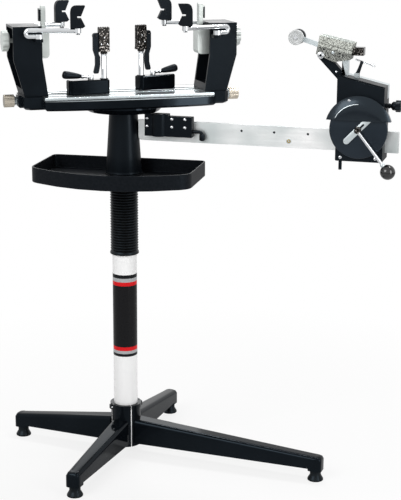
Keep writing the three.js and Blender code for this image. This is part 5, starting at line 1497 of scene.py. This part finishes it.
class STRINGER_OT_studio(bpy.types.Operator):
    """Pale floor, soft lights, sky and the camera"""
    bl_idname = "stringer.studio"
    bl_label = "Studio"

    def execute(self, context):
        studio = context.scene.stringer_studio
        self.floor()
        self.lights(studio)
        self.sky(context.scene, studio)
        self.camera(context.scene, studio)
        context.scene.view_settings.view_transform = "Standard"
        return {"FINISHED"}

    def floor(self):
        clear_selection()
        bpy.ops.mesh.primitive_circle_add(vertices=96, radius=9, fill_type="NGON")
        floor = bpy.context.active_object
        floor.name = "studio_floor"
        floor.data.materials.append(FINISHES["studio_floor"]())

    def lamp(self, name, spot, size, power):
        """A soft lamp that aims at the machine, its place and size in metres."""
        aim = (0, 0, 0.8)
        clear_selection()
        bpy.ops.object.light_add(type="AREA", location=spot)
        lamp = bpy.context.active_object
        lamp.name = name
        lamp.data.shape = "RECTANGLE"
        lamp.data.size, lamp.data.size_y = size
        lamp.data.energy = power
        lamp.rotation_euler = (Vector(spot) - Vector(aim)).to_track_quat("Z", "Y").to_euler()

    def lights(self, studio):
        self.lamp("key_light", (-1.6, -3.2, 2.9), (2.2, 2.2), studio.key_power)
        self.lamp("fill_light", (3.2, -1.6, 1.6), (1.2, 2.4), studio.fill_power)
        self.lamp("rim_light", (-1.25, 3.0, 1.85), (1.2, 1.4), studio.rim_power)
        self.lamp("strip_light", (0.3, 1.0, 3.2), (2.6, 0.14), studio.strip_power)

    def sky(self, scene, studio):
        world = bpy.data.worlds.new("studio_sky")
        scene.world = world
        world.use_nodes = True
        sky = Nodes(world.node_tree)
        white = (1, 1, 1, 1)
        ambient = sky.tree.nodes["Background"]
        sky.feed(ambient.inputs["Color"], white)
        sky.feed(ambient.inputs["Strength"], studio.ambient)
        seen = sky.node("ShaderNodeBackground", Color=white, Strength=1.0)
        path = sky.node("ShaderNodeLightPath")
        rays = Value(sky.tree, path.outputs["Is Camera Ray"])
        for kind in ("Is Glossy Ray", "Is Transmission Ray"):
            rays = rays.maths("MAXIMUM", Value(sky.tree, path.outputs[kind]))
        sky.blend(rays, ambient.outputs[0], seen.outputs[0], sky.tree.nodes["World Output"])

    def camera(self, scene, studio):
        clear_selection()
        bpy.ops.object.camera_add()
        camera = bpy.context.active_object
        camera.name = "photo_camera"
        camera.data.lens = studio.lens
        camera.data.clip_end = 50
        round_turn, distance = studio.camera_round, studio.camera_distance
        spot = BAR @ Vector((distance * sin(round_turn), -distance * cos(round_turn), 0))
        spot.z = studio.camera_height
        way = studio.heading - round_turn
        view = Vector((sin(way) * cos(studio.pitch), cos(way) * cos(studio.pitch), -sin(studio.pitch)))
        level = view.cross(Vector((0, 0, 1))).normalized()
        up = level.cross(view)
        right = level * cos(studio.roll) + up * sin(studio.roll)
        above = up * cos(studio.roll) - level * sin(studio.roll)
        turn = Matrix((right, above, -view)).transposed().to_4x4()
        camera.matrix_world = Matrix.Translation(spot) @ turn
        scene.camera = camera


# Add-on

OPERATORS = (
    STRINGER_OT_legs, STRINGER_OT_column, STRINGER_OT_tray, STRINGER_OT_bar, STRINGER_OT_bracket,
    STRINGER_OT_turntable, STRINGER_OT_screw_knobs, STRINGER_OT_towers, STRINGER_OT_arm_knobs,
    STRINGER_OT_arms, STRINGER_OT_adapters, STRINGER_OT_clamp_bases, STRINGER_OT_clamp_heads,
    STRINGER_OT_head_case, STRINGER_OT_winder, STRINGER_OT_tension_knob, STRINGER_OT_gripper,
    STRINGER_OT_roller, STRINGER_OT_trip_lever, STRINGER_OT_studio,
)
GROUPS = {
    "stringer_sizes": StringerSizes, "stringer_colours": StringerColours, "stringer_studio": StringerStudio,
}


class STRINGER_PT_pieces(bpy.types.Panel):
    """Lists the machine's pieces and their settings"""
    bl_idname = "STRINGER_PT_pieces"
    bl_label = "Racket stringing machine"
    bl_space_type = "VIEW_3D"
    bl_region_type = "UI"
    bl_category = "Stringer"

    def draw(self, context):
        for operator in OPERATORS:
            self.layout.operator(operator.bl_idname)
        for name, group in GROUPS.items():
            box = self.layout.box()
            for setting in group.__annotations__:
                box.prop(getattr(context.scene, name), setting)


def register():
    for group in GROUPS.values():
        bpy.utils.register_class(group)
    for name, group in GROUPS.items():
        setattr(bpy.types.Scene, name, PointerProperty(type=group))
    for made in (*OPERATORS, STRINGER_PT_pieces):
        bpy.utils.register_class(made)


def unregister():
    for made in reversed((*OPERATORS, STRINGER_PT_pieces)):
        bpy.utils.unregister_class(made)
    for name in GROUPS:
        delattr(bpy.types.Scene, name)
    for group in reversed(tuple(GROUPS.values())):
        bpy.utils.unregister_class(group)


def main():
    register()
    for operator in OPERATORS:
        group, name = operator.bl_idname.split(".")
        getattr(getattr(bpy.ops, group), name)()


if __name__ == "__main__":
    main()
